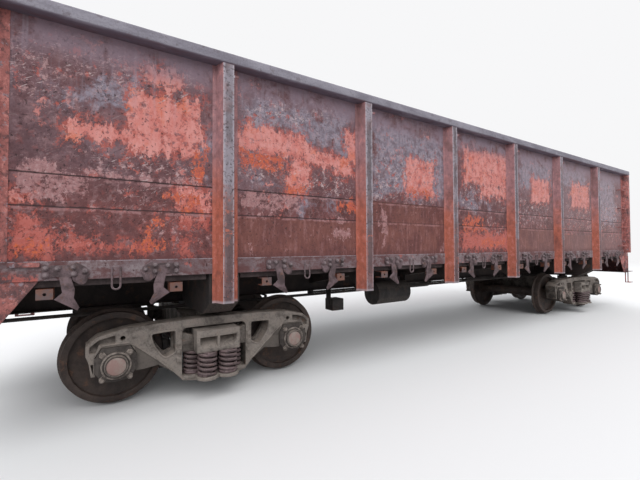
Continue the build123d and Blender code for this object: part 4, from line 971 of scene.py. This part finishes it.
def box_paint():
    material, place, parts, facing = start_finish("box_cast")
    blotch = noise(place, 9.0, 9, 0.72, 0.4)
    grain = noise(place, 50.0, 8, 0.75)
    colour = lay(level(blotch, 0.40, 0.60), BOX_DARK, BOX_LIGHT)
    colour = clouds(colour, grain, 0.5, BOX_DARK, BOX_LIGHT)
    out = level(abs(parts[1]), *CAP_FROM_Y)
    radius = from_axle_line(parts) + centred(blotch, 0.010)
    cap = lay(level(blotch, 0.40, 0.62), CAP_PINK, BOX_LIGHT)
    colour = lay(level(radius, *CAP_EDGE_R) * out, colour, cap)
    # Dark grooves: grease and a painted shade in the crevices.
    for ring, width, share in GROOVES:
        groove = near(radius, ring, 0.002, width) * out
        colour = lay(groove * share, colour, GREASE_AND_SHADE)
    colour = lay(dust_on_top(facing, blotch) * 0.8, colour, BOX_DUST)
    # Bevelled edges lighter: wear and a painted highlight.
    colour = lay(worn_and_lit_edges(facing, grain) * 0.5, colour, BOX_LIGHT)
    # Painted shade, with grease, on the box behind its front face.
    back = level(abs(parts[1]), *BACK_SHADE_FROM_Y)
    colour = lay(back * 0.80, colour, GREASE_AND_SHADE)
    relief = grain * 0.6 + blotch * 0.8
    end_finish(colour, 0.78, relief, 0.003)
    return material


finishes["box_cast"] = box_paint()
print("axle box paint mixed")

# %% [markdown]
# A floor hatch has three faces to the world. Its top is scoured rust, its underside is as black as
# the rest of the underframe, and the two lock arms that reach out under the side sill are still
# orange-red. Height and distance from the middle tell the arms apart.

# %% Hatch paint
HATCH_UNDER = (0.040, 0.028, 0.028)
HATCH_DUST = (0.085, 0.062, 0.062)
ARM_RED = (0.330, 0.110, 0.058)
ARM_END_SHADE = (0.120, 0.088, 0.082)
ARMS_FROM_Y = (1.29, 1.31)
ARMS_BELOW_Z = (1.244, 1.236)


def hatch_paint():
    material, place, parts, facing = start_finish("hatch_paint")
    blotch = noise(place, 5.0, 9, 0.7, 0.3)
    grain = noise(place, 35.0, 8, 0.72)
    under = lay(level(blotch, 0.42, 0.62), HATCH_UNDER, HATCH_DUST)
    top = inside_layers(place, parts)
    colour = lay(level(facing[2], 0.5, 0.8), under, top)
    outer = level(abs(parts[1]), *ARMS_FROM_Y)
    arm = level(parts[2], *ARMS_BELOW_Z) * outer
    arm_red = lay(level(noise(place, 9.0, 8, 0.7), 0.44, 0.60), ARM_RED, SILL_DUST)
    # Painted shade: the arms' faces that look along y are darker.
    end = level(abs(facing[1]), 0.5, 0.8)
    arm_red = lay(end * 0.65, arm_red, ARM_END_SHADE)
    colour = lay(arm, colour, arm_red)
    end_finish(colour, 0.75, grain, 0.002)
    return material


finishes["hatch_paint"] = hatch_paint()
print("hatch paint mixed")

# %% [markdown]
# ## Putting the finishes on
# The frame's pieces come with named slots, such as wall_paint. A slot is only a place for a finish,
# so each finish that was mixed above goes into every slot of its name. No mesh is changed here.

# %% Dress the frame's own pieces
def slot_name(material):
    return material.name.split(".")[0]


dressed = 0
for node in frame["nodes"].values():
    for slot in node.material_slots:
        old_name = slot_name(slot.material)
        if old_name in finishes:
            slot.material = finishes[old_name]
            dressed += 1
print("material slots dressed:", dressed)

# %% [markdown]
# ## Cast and pressed pieces with worn edges
# The solids have sharp edges, but a casting leaves its mould with rounded ones, and a pressed plate
# has been knocked about for years. A sharp edge has no width, so it never catches the light, and
# that is what makes a model look like a drawing. Each such piece is copied, its loose triangles are
# joined, flat regions are merged, and a narrow bevel goes along every real edge. The bevel's clamp
# keeps it from running over edges close by, so on pieces full of detail it may come out much narrower.
# The copy is built as a new mesh and stands for the solid. The solid itself isn't touched.

# %% Softening a solid's edges
WITH_MOUTHS = "bolster_"  # a many-sided face round an opening can fold over it, so it is cut up again
SAME_POINT = 0.00002
FLAT_BELOW = radians(0.6)
EDGE_ABOVE = radians(28.0)
SMOOTH_BELOW = radians(38.0)


def plain_copy(name, source, material):
    """The shape of an object after its modifiers, as a new plain mesh object."""
    graph = bpy.context.evaluated_depsgraph_get()
    mesh = bpy.data.meshes.new_from_object(source.evaluated_get(graph))
    mesh.name = name
    mesh.materials.clear()
    mesh.materials.append(material)
    return placed(name, mesh)


def merged_mesh(node):
    """The node's triangles joined and its flat regions merged."""
    welded = bmesh.new()
    welded.from_mesh(frame["nodes"][node].data)
    bmesh.ops.remove_doubles(welded, verts=welded.verts, dist=SAME_POINT)
    bmesh.ops.dissolve_limit(welded, angle_limit=FLAT_BELOW, verts=welded.verts, edges=welded.edges)
    if node.startswith(WITH_MOUTHS):
        bmesh.ops.triangulate(welded, faces=[face for face in welded.faces if len(face.verts) > 4])
    mesh = bpy.data.meshes.new(node + "_merged")
    welded.to_mesh(mesh)
    welded.free()
    if "custom_normal" in mesh.attributes:
        mesh.attributes.remove(mesh.attributes["custom_normal"])
    return mesh


def soften(node, width):
    """A copy of a node with bevelled edges stands for it; width is in metres."""
    rough = placed("rough", merged_mesh(node))
    bevel = rough.modifiers.new("worn_edges", "BEVEL")
    bevel.width = width
    bevel.segments = 2
    bevel.limit_method = "ANGLE"
    bevel.angle_limit = EDGE_ABOVE
    bevel.use_clamp_overlap = True
    slot = slot_name(frame["nodes"][node].material_slots[0].material)
    piece = plain_copy(node + "_worn", rough, finishes[slot])
    bpy.data.objects.remove(rough)
    piece.data.shade_smooth()
    piece.data.set_sharp_from_angle(angle=SMOOTH_BELOW)
    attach(piece, body_of_node[node])
    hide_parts(node)
    return piece


WORN = (  # start of the node names, greatest width of the worn edge in millimetres
    ("side_frames", 9.0),
    ("bolster_front", 8.0),
    ("bolster_rear", 8.0),
    ("axle_boxes", 6.0),
    ("wedges", 6.0),
    ("couplers", 12.0),
    ("hatch_locks", 3.0),
    ("side_posts", 4.0),
    ("corner_posts", 5.0),
    ("top_chords", 7.0),
    ("end_chords", 7.0),
    ("end_walls", 3.0),
    ("corner_gussets", 2.5),
    ("brake_beams", 4.0),
    ("air_distributor", 8.0),
    ("ladders", 6.0),
    ("wheels", 4.0),
)
softened = []
for start, millimetres in WORN:
    for node in sorted(frame["nodes"]):
        if node.startswith(start):
            softened.append(soften(node, millimetres / 1000))
faces = [face for piece in softened for face in piece.data.polygons]
print("softened pieces:", len(softened), "triangles:", sum(len(face.vertices) - 2 for face in faces))

# %% [markdown]
# ## Tools for repeats
# What repeats on this wagon by the hundred, such as bolts, coils and weld beads, is grown by
# Geometry Nodes. Each tree starts from a handful of points or lines, which carry the places, and
# puts the same small form on each. Its sizes are named inputs, so the same tree serves other sizes.
# The result is made real, gets its finish inside the tree and is then kept as one plain mesh for
# each body that it moves with, because instances and live modifiers don't travel to other programs.

# %% Geometry Nodes helpers
def start_tree(name, **sizes):
    """New tree with a geometry input and one named number for each size."""
    tree = bpy.data.node_groups.new(name, "GeometryNodeTree")
    sockets = tree.interface
    sockets.new_socket("Geometry", in_out="INPUT", socket_type="NodeSocketGeometry")
    for size, value in sizes.items():
        sockets.new_socket(size, in_out="INPUT", socket_type="NodeSocketFloat").default_value = value
    sockets.new_socket("Geometry", in_out="OUTPUT", socket_type="NodeSocketGeometry")
    return tree, outputs(tree, "NodeGroupInput")


def end_tree(tree, geometry, material):
    real = result(tree, "GeometryNodeRealizeInstances", {0: geometry})
    painted = result(tree, "GeometryNodeSetMaterial", {"Geometry": real, "Material": material})
    add(tree, "NodeGroupOutput", {0: painted})


def end_on_points(tree, points, form, rotation, material):
    """One form on every start point, turned, as the end of a tree."""
    sockets = {"Points": points, "Instance": form, "Rotation": rotation}
    end_tree(tree, result(tree, "GeometryNodeInstanceOnPoints", sockets), material)


def moved_up(tree, form, height):
    up = result(tree, "ShaderNodeCombineXYZ", {"Z": height})
    return result(tree, "GeometryNodeTransform", {"Geometry": form, "Translation": up})


def joined(tree, forms):
    join = add(tree, "GeometryNodeJoinGeometry")
    for form in forms:
        tree.links.new(form.socket, join.inputs[0])
    return Value(join.outputs[0])


def circle(tree, points, radius):
    return result(tree, "GeometryNodeCurvePrimitiveCircle", {"Resolution": points, "Radius": radius})


def swept(tree, path, ring, caps=True):
    """The ring's outline along a path."""
    sockets = {"Curve": path, "Profile Curve": ring, "Fill Caps": caps}
    return result(tree, "GeometryNodeCurveToMesh", sockets)


def random_spin(tree, seed):
    """A turn round the upright axis that differs from point to point."""
    angle = result(tree, "FunctionNodeRandomValue", {3: 2 * pi, "Seed": seed}, 1, data_type="FLOAT")
    upright = result(tree, "ShaderNodeCombineXYZ", {"Z": angle})
    return result(tree, "FunctionNodeEulerToRotation", {0: upright})


def turned_to_facing(tree):
    """The turn that lays the upright axis along the way a start point faces."""
    reader = "GeometryNodeInputNamedAttribute"
    facing = result(tree, reader, {"Name": "facing"}, data_type="FLOAT_VECTOR")
    return result(tree, "FunctionNodeAlignRotationToVector", {"Vector": facing}, axis="Z")


def start_mesh(points, edges=(), facings=None):
    """The points or lines that a tree grows on, with the way each point faces."""
    mesh = bpy.data.meshes.new("start")
    mesh.from_pydata([tuple(point) for point in points], edges, [])
    if facings:
        attribute = mesh.attributes.new("facing", "FLOAT_VECTOR", "POINT")
        for item, facing in zip(attribute.data, facings):
            item.vector = facing
    return mesh


def grow(tree, name, body, slot, mesh, smooth=40.0, **sizes):
    """Runs the tree on a start mesh, keeps the result as a plain piece and lets it ride on a body."""
    seed = placed("seed", mesh)
    modifier = seed.modifiers.new("grow", "NODES")
    modifier.node_group = tree
    identifiers = {item.name: item.identifier for item in tree.interface.items_tree if item.in_out == "INPUT"}
    for size, value in sizes.items():
        modifier[identifiers[size]] = value
    piece = plain_copy(name, seed, finishes[slot])
    seed.modifiers.remove(modifier)
    bpy.data.objects.remove(seed)
    piece.data.shade_smooth()
    piece.data.set_sharp_from_angle(angle=radians(smooth))
    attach(piece, body)
    return piece


print("Geometry Nodes helpers ready")

# %% [markdown]
# ## Coil springs
# A bogie rests on two nests of seven coil springs, each a thick outer coil with a thinner one inside.
# In a real nest the inner one winds the other way; here both wind alike. A coil is a spiral with a
# round bar along it. The first and last turn of a real one lie flat, so that it can stand, so the
# height doesn't grow evenly: it stays at the bottom for a while, climbs, and stays at the top.

# %% Spring tree
SPRING_R = 0.100
BAR_R = 0.0155
FLAT_SHARE = 0.13


def spring_tree():
    tree, sizes = start_tree("coil_spring", Radius=SPRING_R, Bar=BAR_R, Turns=6.0, Rise=0.2)
    middle = sizes["Radius"] - sizes["Bar"]
    spiral = {"Resolution": 20, "Rotations": sizes["Turns"], "Height": 0.0}
    spiral.update({"Start Radius": middle, "End Radius": middle})
    path = result(tree, "GeometryNodeCurveSpiral", spiral)
    along = result(tree, "GeometryNodeSplineParameter", output="Factor")
    steady = {0: along, 1: FLAT_SHARE, 2: 1.0 - FLAT_SHARE}
    climb = result(tree, "ShaderNodeMapRange", steady, clamp=True)
    lift = result(tree, "ShaderNodeCombineXYZ", {"Z": climb * sizes["Rise"]})
    path = result(tree, "GeometryNodeSetPosition", {"Geometry": path, "Offset": lift})
    coil = moved_up(tree, swept(tree, path, circle(tree, 10, sizes["Bar"])), sizes["Bar"])
    end_on_points(tree, sizes["Geometry"], coil, random_spin(tree, 4), finishes["spring_steel"])
    return tree


coils = spring_tree()
print("spring tree ready")

# %% [markdown]
# The box of the solid springs gives the height of a nest and how far its coils stand apart. Outer and
# inner coils grow from the same points, and only the sizes that are set on the tree differ.

# %% Springs in their nests
NEST = ((-0.5, -1), (0.5, -1), (-1, 0), (0, 0), (1, 0), (-0.5, 1), (0.5, 1))  # in pitches and rows
SPRING_ROW = 0.186
INNER_R = 0.062
INNER_BAR_R = 0.0095

for bogie in ("front", "rear"):
    low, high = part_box("springs_" + bogie)
    middle = (low + high) / 2
    pitch = (high.x - low.x) / 2 - SPRING_R
    row_y = (high.y - low.y) / 2 - SPRING_ROW - SPRING_R
    places = [
        (middle.x + i * pitch, side * row_y + j * SPRING_ROW, low.z) for side in (-1, 1) for i, j in NEST
    ]
    body = body_of_node["springs_" + bogie]
    height = high.z - low.z
    outer = grow(coils, "coils_" + bogie, body, "spring_steel", start_mesh(places), Rise=height - 2 * BAR_R)
    sizes = {"Radius": INNER_R, "Bar": INNER_BAR_R, "Turns": 9.0, "Rise": height - 2 * INNER_BAR_R}
    inner = grow(coils, "inner_coils_" + bogie, body, "spring_steel", start_mesh(places), **sizes)
    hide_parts("springs_" + bogie)
    print(bogie, "springs:", len(places), "coils", round(height * 1000), "mm high")

# %% [markdown]
# ## Bolts
# Bolts hold the lock plates to the sill and the covers to the axle boxes. All are hexagons with a
# washer and the bolt's own end standing out, so one tree makes them. Each start point carries the way
# it faces, and a random spin keeps the flats from lining up, as nobody lines them up on a real wagon.

# %% Bolt tree
WASHER_Z = (-0.002, 0.004)


def bolt_tree():
    tree, sizes = start_tree("bolt", Across=0.030, Height=0.016, Washer=0.024, Stub=0.010)
    parts = []
    for sides, radius, low, high in (
        (6, sizes["Across"] / (2 * cos(pi / 6)), 0.0, sizes["Height"]),
        (14, sizes["Washer"], *WASHER_Z),
        (8, sizes["Stub"], 0.0, sizes["Height"] * 1.5),
    ):
        cylinder = {"Vertices": sides, "Radius": radius, "Depth": high - low}
        form = result(tree, "GeometryNodeMeshCylinder", cylinder)
        parts.append(moved_up(tree, form, (high + low) * 0.5))
    turns = {0: turned_to_facing(tree), 1: random_spin(tree, 11)}
    rotation = result(tree, "FunctionNodeRotateRotation", turns, rotation_space="LOCAL")
    end_on_points(tree, sizes["Geometry"], joined(tree, parts), rotation, finishes["lock_steel"])
    return tree


bolts = bolt_tree()
print("bolt tree ready")

# %% [markdown]
# A lock stands near each end of a hatch, and six bolts hold its plate. Their places are counted from
# the middles of the hatches, which are read from the hatches' boxes.

# %% Lock bolts
HATCH_BOXES = [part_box(f"hatch_left_{number}") for number in range(1, 8)]
HATCH_X = sorted((low.x + high.x) / 2 for low, high in HATCH_BOXES)
LOCK_FACE_Y = -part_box("hatch_locks")[0].y
LOCK_BOLTS = (  # from the hatch's middle, height
    (0.480, 1.402),
    (0.480, 1.346),
    (0.405, 1.398),
    (0.300, 1.406),
    (0.300, 1.350),
    (0.222, 1.372),
)
WASHER_SUNK = 0.002
points, facings = [], []
for x in HATCH_X:
    for end in (-1, 1):
        for dx, z in LOCK_BOLTS:
            for side in (-1, 1):
                points.append((x + end * dx, side * (LOCK_FACE_Y - WASHER_SUNK), z))
                facings.append((0, side, 0))
body = body_of_node["hatch_locks"]
grow(bolts, "lock_bolts", body, "lock_steel", start_mesh(points, facings=facings), 30.0)
print("lock bolts:", len(points))

# %% [markdown]
# The cover of each axle box has a bolt in each of its four corners.

# %% Cover bolts
COVER_BOLT_OUT = 0.114
COVER_FACE_IN = 0.027
BOX_HALF_LENGTH = 0.174
COVER_MIDDLE_UP = 0.150
for bogie in ("front", "rear"):
    low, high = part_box("axle_boxes_" + bogie)
    cover_y = high.y - COVER_FACE_IN
    points, facings = [], []
    for x in (low.x + BOX_HALF_LENGTH, high.x - BOX_HALF_LENGTH):
        for side in (-1, 1):
            for dx in (-1, 1):
                for dz in (-1, 1):
                    z = low.z + COVER_MIDDLE_UP + dz * COVER_BOLT_OUT
                    points.append((x + dx * COVER_BOLT_OUT, side * cover_y, z))
                    facings.append((0, side, 0))
    body = body_of_node["axle_boxes_" + bogie]
    sizes = {"Across": 0.034, "Washer": 0.022, "Height": 0.020}
    grow(bolts, "cover_bolts_" + bogie, body, "box_cast", start_mesh(points, facings=facings), 30.0, **sizes)
    print(bogie, "cover bolts:", len(points))

# %% [markdown]
# ## Bars and weld beads
# A tube along a line does for everything that is bent from round bar, and for the seams of weld that
# hold the posts and the sheets. The line is given as points, the tree turns it into a curve, cuts it
# into even steps, shakes the steps a little where a weld was run by hand, and sweeps a ring along it.

# %% Tube tree
def tube_tree(name, slot, sides):
    tree, sizes = start_tree(name, Bar=0.008, Step=0.03, Shake=0.0)
    path = result(tree, "GeometryNodeMeshToCurve", {0: sizes["Geometry"]})
    steps = {"Curve": path, "Length": sizes["Step"]}
    path = result(tree, "GeometryNodeResampleCurve", steps, mode="LENGTH")
    place = result(tree, "GeometryNodeInputPosition")
    wander = {"Vector": place, "Scale": 45.0, "Detail": 2.0}
    wander = result(tree, "ShaderNodeTexNoise", wander, "Color")
    wander = result(tree, "ShaderNodeVectorMath", {0: wander, 1: (0.5, 0.5, 0.5)}, operation="SUBTRACT")
    shake = {0: wander, "Scale": sizes["Shake"]}
    shake = result(tree, "ShaderNodeVectorMath", shake, operation="SCALE")
    path = result(tree, "GeometryNodeSetPosition", {"Geometry": path, "Offset": shake})
    end_tree(tree, swept(tree, path, circle(tree, sides, sizes["Bar"])), finishes[slot])
    return tree


def lines_mesh(lines):
    """One start mesh from several lines of points."""
    points, edges = [], []
    for line in lines:
        edges += [(len(points) + i, len(points) + i + 1) for i in range(len(line) - 1)]
        points += line
    return start_mesh(points, edges)


round_bar = tube_tree("round_bar", "lock_steel", 10)
weld_bead = tube_tree("weld_bead", "wall_paint", 6)
print("tube trees ready")

# %% [markdown]
# Under each hatch's middle hangs a lashing loop, a U of round bar. Its two legs are welded to the
# sill's face. The solid's box gives how far out it stands and how low it hangs; the bend at the bottom is
# half a circle.

# %% Lashing loops
LOOP_BAR_R = 0.008
LOOP_HALF = 0.032
LOOP_TOP = 1.392
LOOP_IN = 0.001
BEND_STEPS = 8
low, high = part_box("lashing_loops")
loop_y = -low.y - LOOP_BAR_R - LOOP_IN
bend_z = low.z + LOOP_HALF + LOOP_BAR_R
lines = []
for side in (-1, 1):
    for x in HATCH_X:
        line = [(x * -side - LOOP_HALF, side * loop_y, LOOP_TOP)]
        for i in range(BEND_STEPS + 1):
            angle = pi + i * pi / BEND_STEPS
            bent = (x * -side + LOOP_HALF * cos(angle), bend_z + LOOP_HALF * sin(angle))
            line.append((bent[0], side * loop_y, bent[1]))
        line.append((x * -side + LOOP_HALF, side * loop_y, LOOP_TOP))
        lines.append(line)
body = body_of_node["lashing_loops"]
sizes = {"Bar": LOOP_BAR_R, "Step": 0.012}
loops = grow(round_bar, "round_loops", body, "lock_steel", lines_mesh(lines), 60.0, **sizes)
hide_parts("lashing_loops")
print("lashing loops:", len(lines))

# %% [markdown]
# Weld beads run up both feet of every post. They are thin, but they catch the light, and they show
# how the wall was put together.

# %% Weld beads
WALL_FACE = -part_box("side_walls")[0].y
POST_FOOT = 0.1285
BEAD_R = 0.0045
BEAD_Z = (1.456, 3.362)
beads = []
for side in (-1, 1):
    for x in POST_PLACES:
        for place_x in (-x, x):
            for foot in (-POST_FOOT, POST_FOOT):
                beads.append([(place_x + foot, side * WALL_FACE, z) for z in BEAD_Z])
body = body_of_node["side_walls"]
grow(weld_bead, "post_welds", body, "wall_paint", lines_mesh(beads), 60.0, Bar=BEAD_R, Step=0.02, Shake=0.006)
print("weld beads:", len(beads))

# %% [markdown]
# A flat flange ties each corner post to the sheet beside it. It is a plate of one thickness, so four
# boxes in one mesh are enough.

# %% Corner flanges
FLANGE_X = (5.982, 6.046)
FLANGE_T = 0.004
FLANGE_Z = (1.455, 3.366)


def made(name, form, slot):
    """A new object from a form that was built face by face."""
    mesh = bpy.data.meshes.new(name)
    form.to_mesh(mesh)
    form.free()
    mesh.materials.append(finishes[slot])
    return placed(name, mesh)


flanges = bmesh.new()
for side in (-1, 1):
    for end in (-1, 1):
        size = Vector((FLANGE_X[1] - FLANGE_X[0], FLANGE_T, FLANGE_Z[1] - FLANGE_Z[0]))
        middle = Vector((end * sum(FLANGE_X) / 2, side * (WALL_FACE + FLANGE_T / 2), sum(FLANGE_Z) / 2))
        where = Matrix.Translation(middle) @ Matrix.Diagonal((*size, 1.0))
        bmesh.ops.create_cube(flanges, size=1.0, matrix=where)
piece = made("corner_flanges", flanges, "post_paint")
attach(piece, body_of_node["corner_posts"])
flange_width = round((FLANGE_X[1] - FLANGE_X[0]) * 1000)
print("corner flanges:", len(piece.data.polygons) // 6, "each", flange_width, "mm wide")

# %% [markdown]
# The cap of an axle box is a turned disc in a raised ring. The solid has it as a prism with 24
# sides, which is enough for sizes. A ring swept round a circle and a low cone give it back its
# smooth edge, and they sit right on the solid's cap.

# %% Axle box caps
def cap_tree():
    tree, sizes = start_tree("turned_cap", Ring=0.092, Bead=0.0065, Disc=0.083, Crown=0.005)
    ring = swept(tree, circle(tree, 40, sizes["Ring"]), circle(tree, 10, sizes["Bead"]), caps=False)
    inner = sizes["Disc"] * 0.86
    disc = {"Vertices": 40, "Radius Top": inner, "Radius Bottom": sizes["Disc"], "Depth": sizes["Crown"]}
    disc = moved_up(tree, result(tree, "GeometryNodeMeshCone", disc), sizes["Bead"] * -0.9)
    cap = joined(tree, (ring, disc))
    end_on_points(tree, sizes["Geometry"], cap, turned_to_facing(tree), finishes["box_cast"])
    return tree


caps = cap_tree()
for bogie in ("front", "rear"):
    low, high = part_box("axle_boxes_" + bogie)
    middle = (low.x + high.x) / 2
    points, facings = [], []
    for x in AXLES_X:
        for side in (-1, 1):
            points.append((x if middle > 0 else -x, side * high.y, AXLE_HEIGHT))
            facings.append((0, side, 0))
    body = body_of_node["axle_boxes_" + bogie]
    grow(caps, "box_caps_" + bogie, body, "box_cast", start_mesh(points, facings=facings), 40.0)
    print(bogie, "axle box caps:", len(points))

# %% [markdown]
# A cast side frame has a raised lip round its windows and along its sloping arm, where the mould gave
# it more metal. The lip is thin, but it draws the frame's shape from far away. Its line runs on the
# frame's outer face, half sunk in it. Corners are cut back and bent round, as a pattern maker does.

# %% Cast lips
FRAME_FACE_Y = 1.118
WINDOW_LINE = [(0.400, 0.250), (0.625, 0.240), (0.622, 0.190), (0.590, 0.110), (0.520, 0.005)]
WINDOW_LINE += [(0.480, -0.008), (0.400, 0.032)]
ARM_LINE = [(0.795, 0.172), (0.571, -0.018), (0.428, -0.152)]
JAW_LINE = [(0.815, 0.186), (1.040, 0.186)]
LIP_OUT = 0.006
LIP_R = 0.009
WINDOW_CORNER = 0.026
CORNER_STEPS = 4


def rounded(points, cut):
    """A closed line with its corners bent round in a few steps."""
    line = []
    for i, corner in enumerate(points):
        corner = Vector(corner)
        before = (Vector(points[i - 1]) - corner).normalized() * cut
        after = (Vector(points[(i + 1) % len(points)]) - corner).normalized() * cut
        for step in range(CORNER_STEPS + 1):
            share = step / CORNER_STEPS
            line.append(corner + before * (1 - share) ** 2 + after * share**2)
    return line + [line[0]]


def outwards(points, distance):
    """The same line, moved away from the middle of its points."""
    middle = sum((Vector(point) for point in points), Vector((0, 0))) / len(points)
    return [point + (Vector(point) - middle).normalized() * distance for point in map(Vector, points)]


cast_lip = tube_tree("cast_lip", "bogie_cast", 8)
for bogie in ("front", "rear"):
    node = "side_frames_" + bogie
    low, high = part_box(node)
    bogie_x = (low.x + high.x) / 2
    shapes = [rounded(outwards(WINDOW_LINE, LIP_OUT), WINDOW_CORNER), ARM_LINE, JAW_LINE]
    lines = []
    for side in (-1, 1):
        for end in (-1, 1):
            for shape in shapes:
                lines.append([(bogie_x + end * x, side * FRAME_FACE_Y, AXLE_HEIGHT + z) for x, z in shape])
    sizes = {"Bar": LIP_R, "Step": 0.012}
    grow(cast_lip, "cast_lips_" + bogie, body_of_node[node], "bogie_cast", lines_mesh(lines), 60.0, **sizes)
    print(bogie, "cast lips:", len(lines))

# %% [markdown]
# Each end of a bolster has two pockets, and the solid leaves them open. A wedge in each gives it a
# sloping floor, built corner by corner from a triangle at both of its sides.

# %% Bolster pockets
POCKET_X = (0.013, 0.189)
POCKET_Y = (1.244, 1.090)
POCKET_Z = (0.522, 0.630)
for bogie in ("front", "rear"):
    node = "bolster_" + bogie
    low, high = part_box(node)
    bogie_x = (low.x + high.x) / 2
    wedges = bmesh.new()
    for side in (-1, 1):
        for end in (-1, 1):
            rows = []
            for x in POCKET_X:
                section = ((POCKET_Y[0], POCKET_Z[0]), (POCKET_Y[1], POCKET_Z[0]), (POCKET_Y[1], POCKET_Z[1]))
                rows.append([wedges.verts.new((bogie_x + end * x, side * y, z)) for y, z in section])
            first, last = rows
            wedges.faces.new(first)
            wedges.faces.new(last)
            for i in range(3):
                wedges.faces.new((first[i], first[(i + 1) % 3], last[(i + 1) % 3], last[i]))
    bmesh.ops.recalc_face_normals(wedges, faces=wedges.faces)
    piece = made("pocket_floors_" + bogie, wedges, "bogie_cast")
    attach(piece, body_of_node[node])
    print(bogie, "bolster pockets with a floor:", len(piece.data.polygons) // 5)
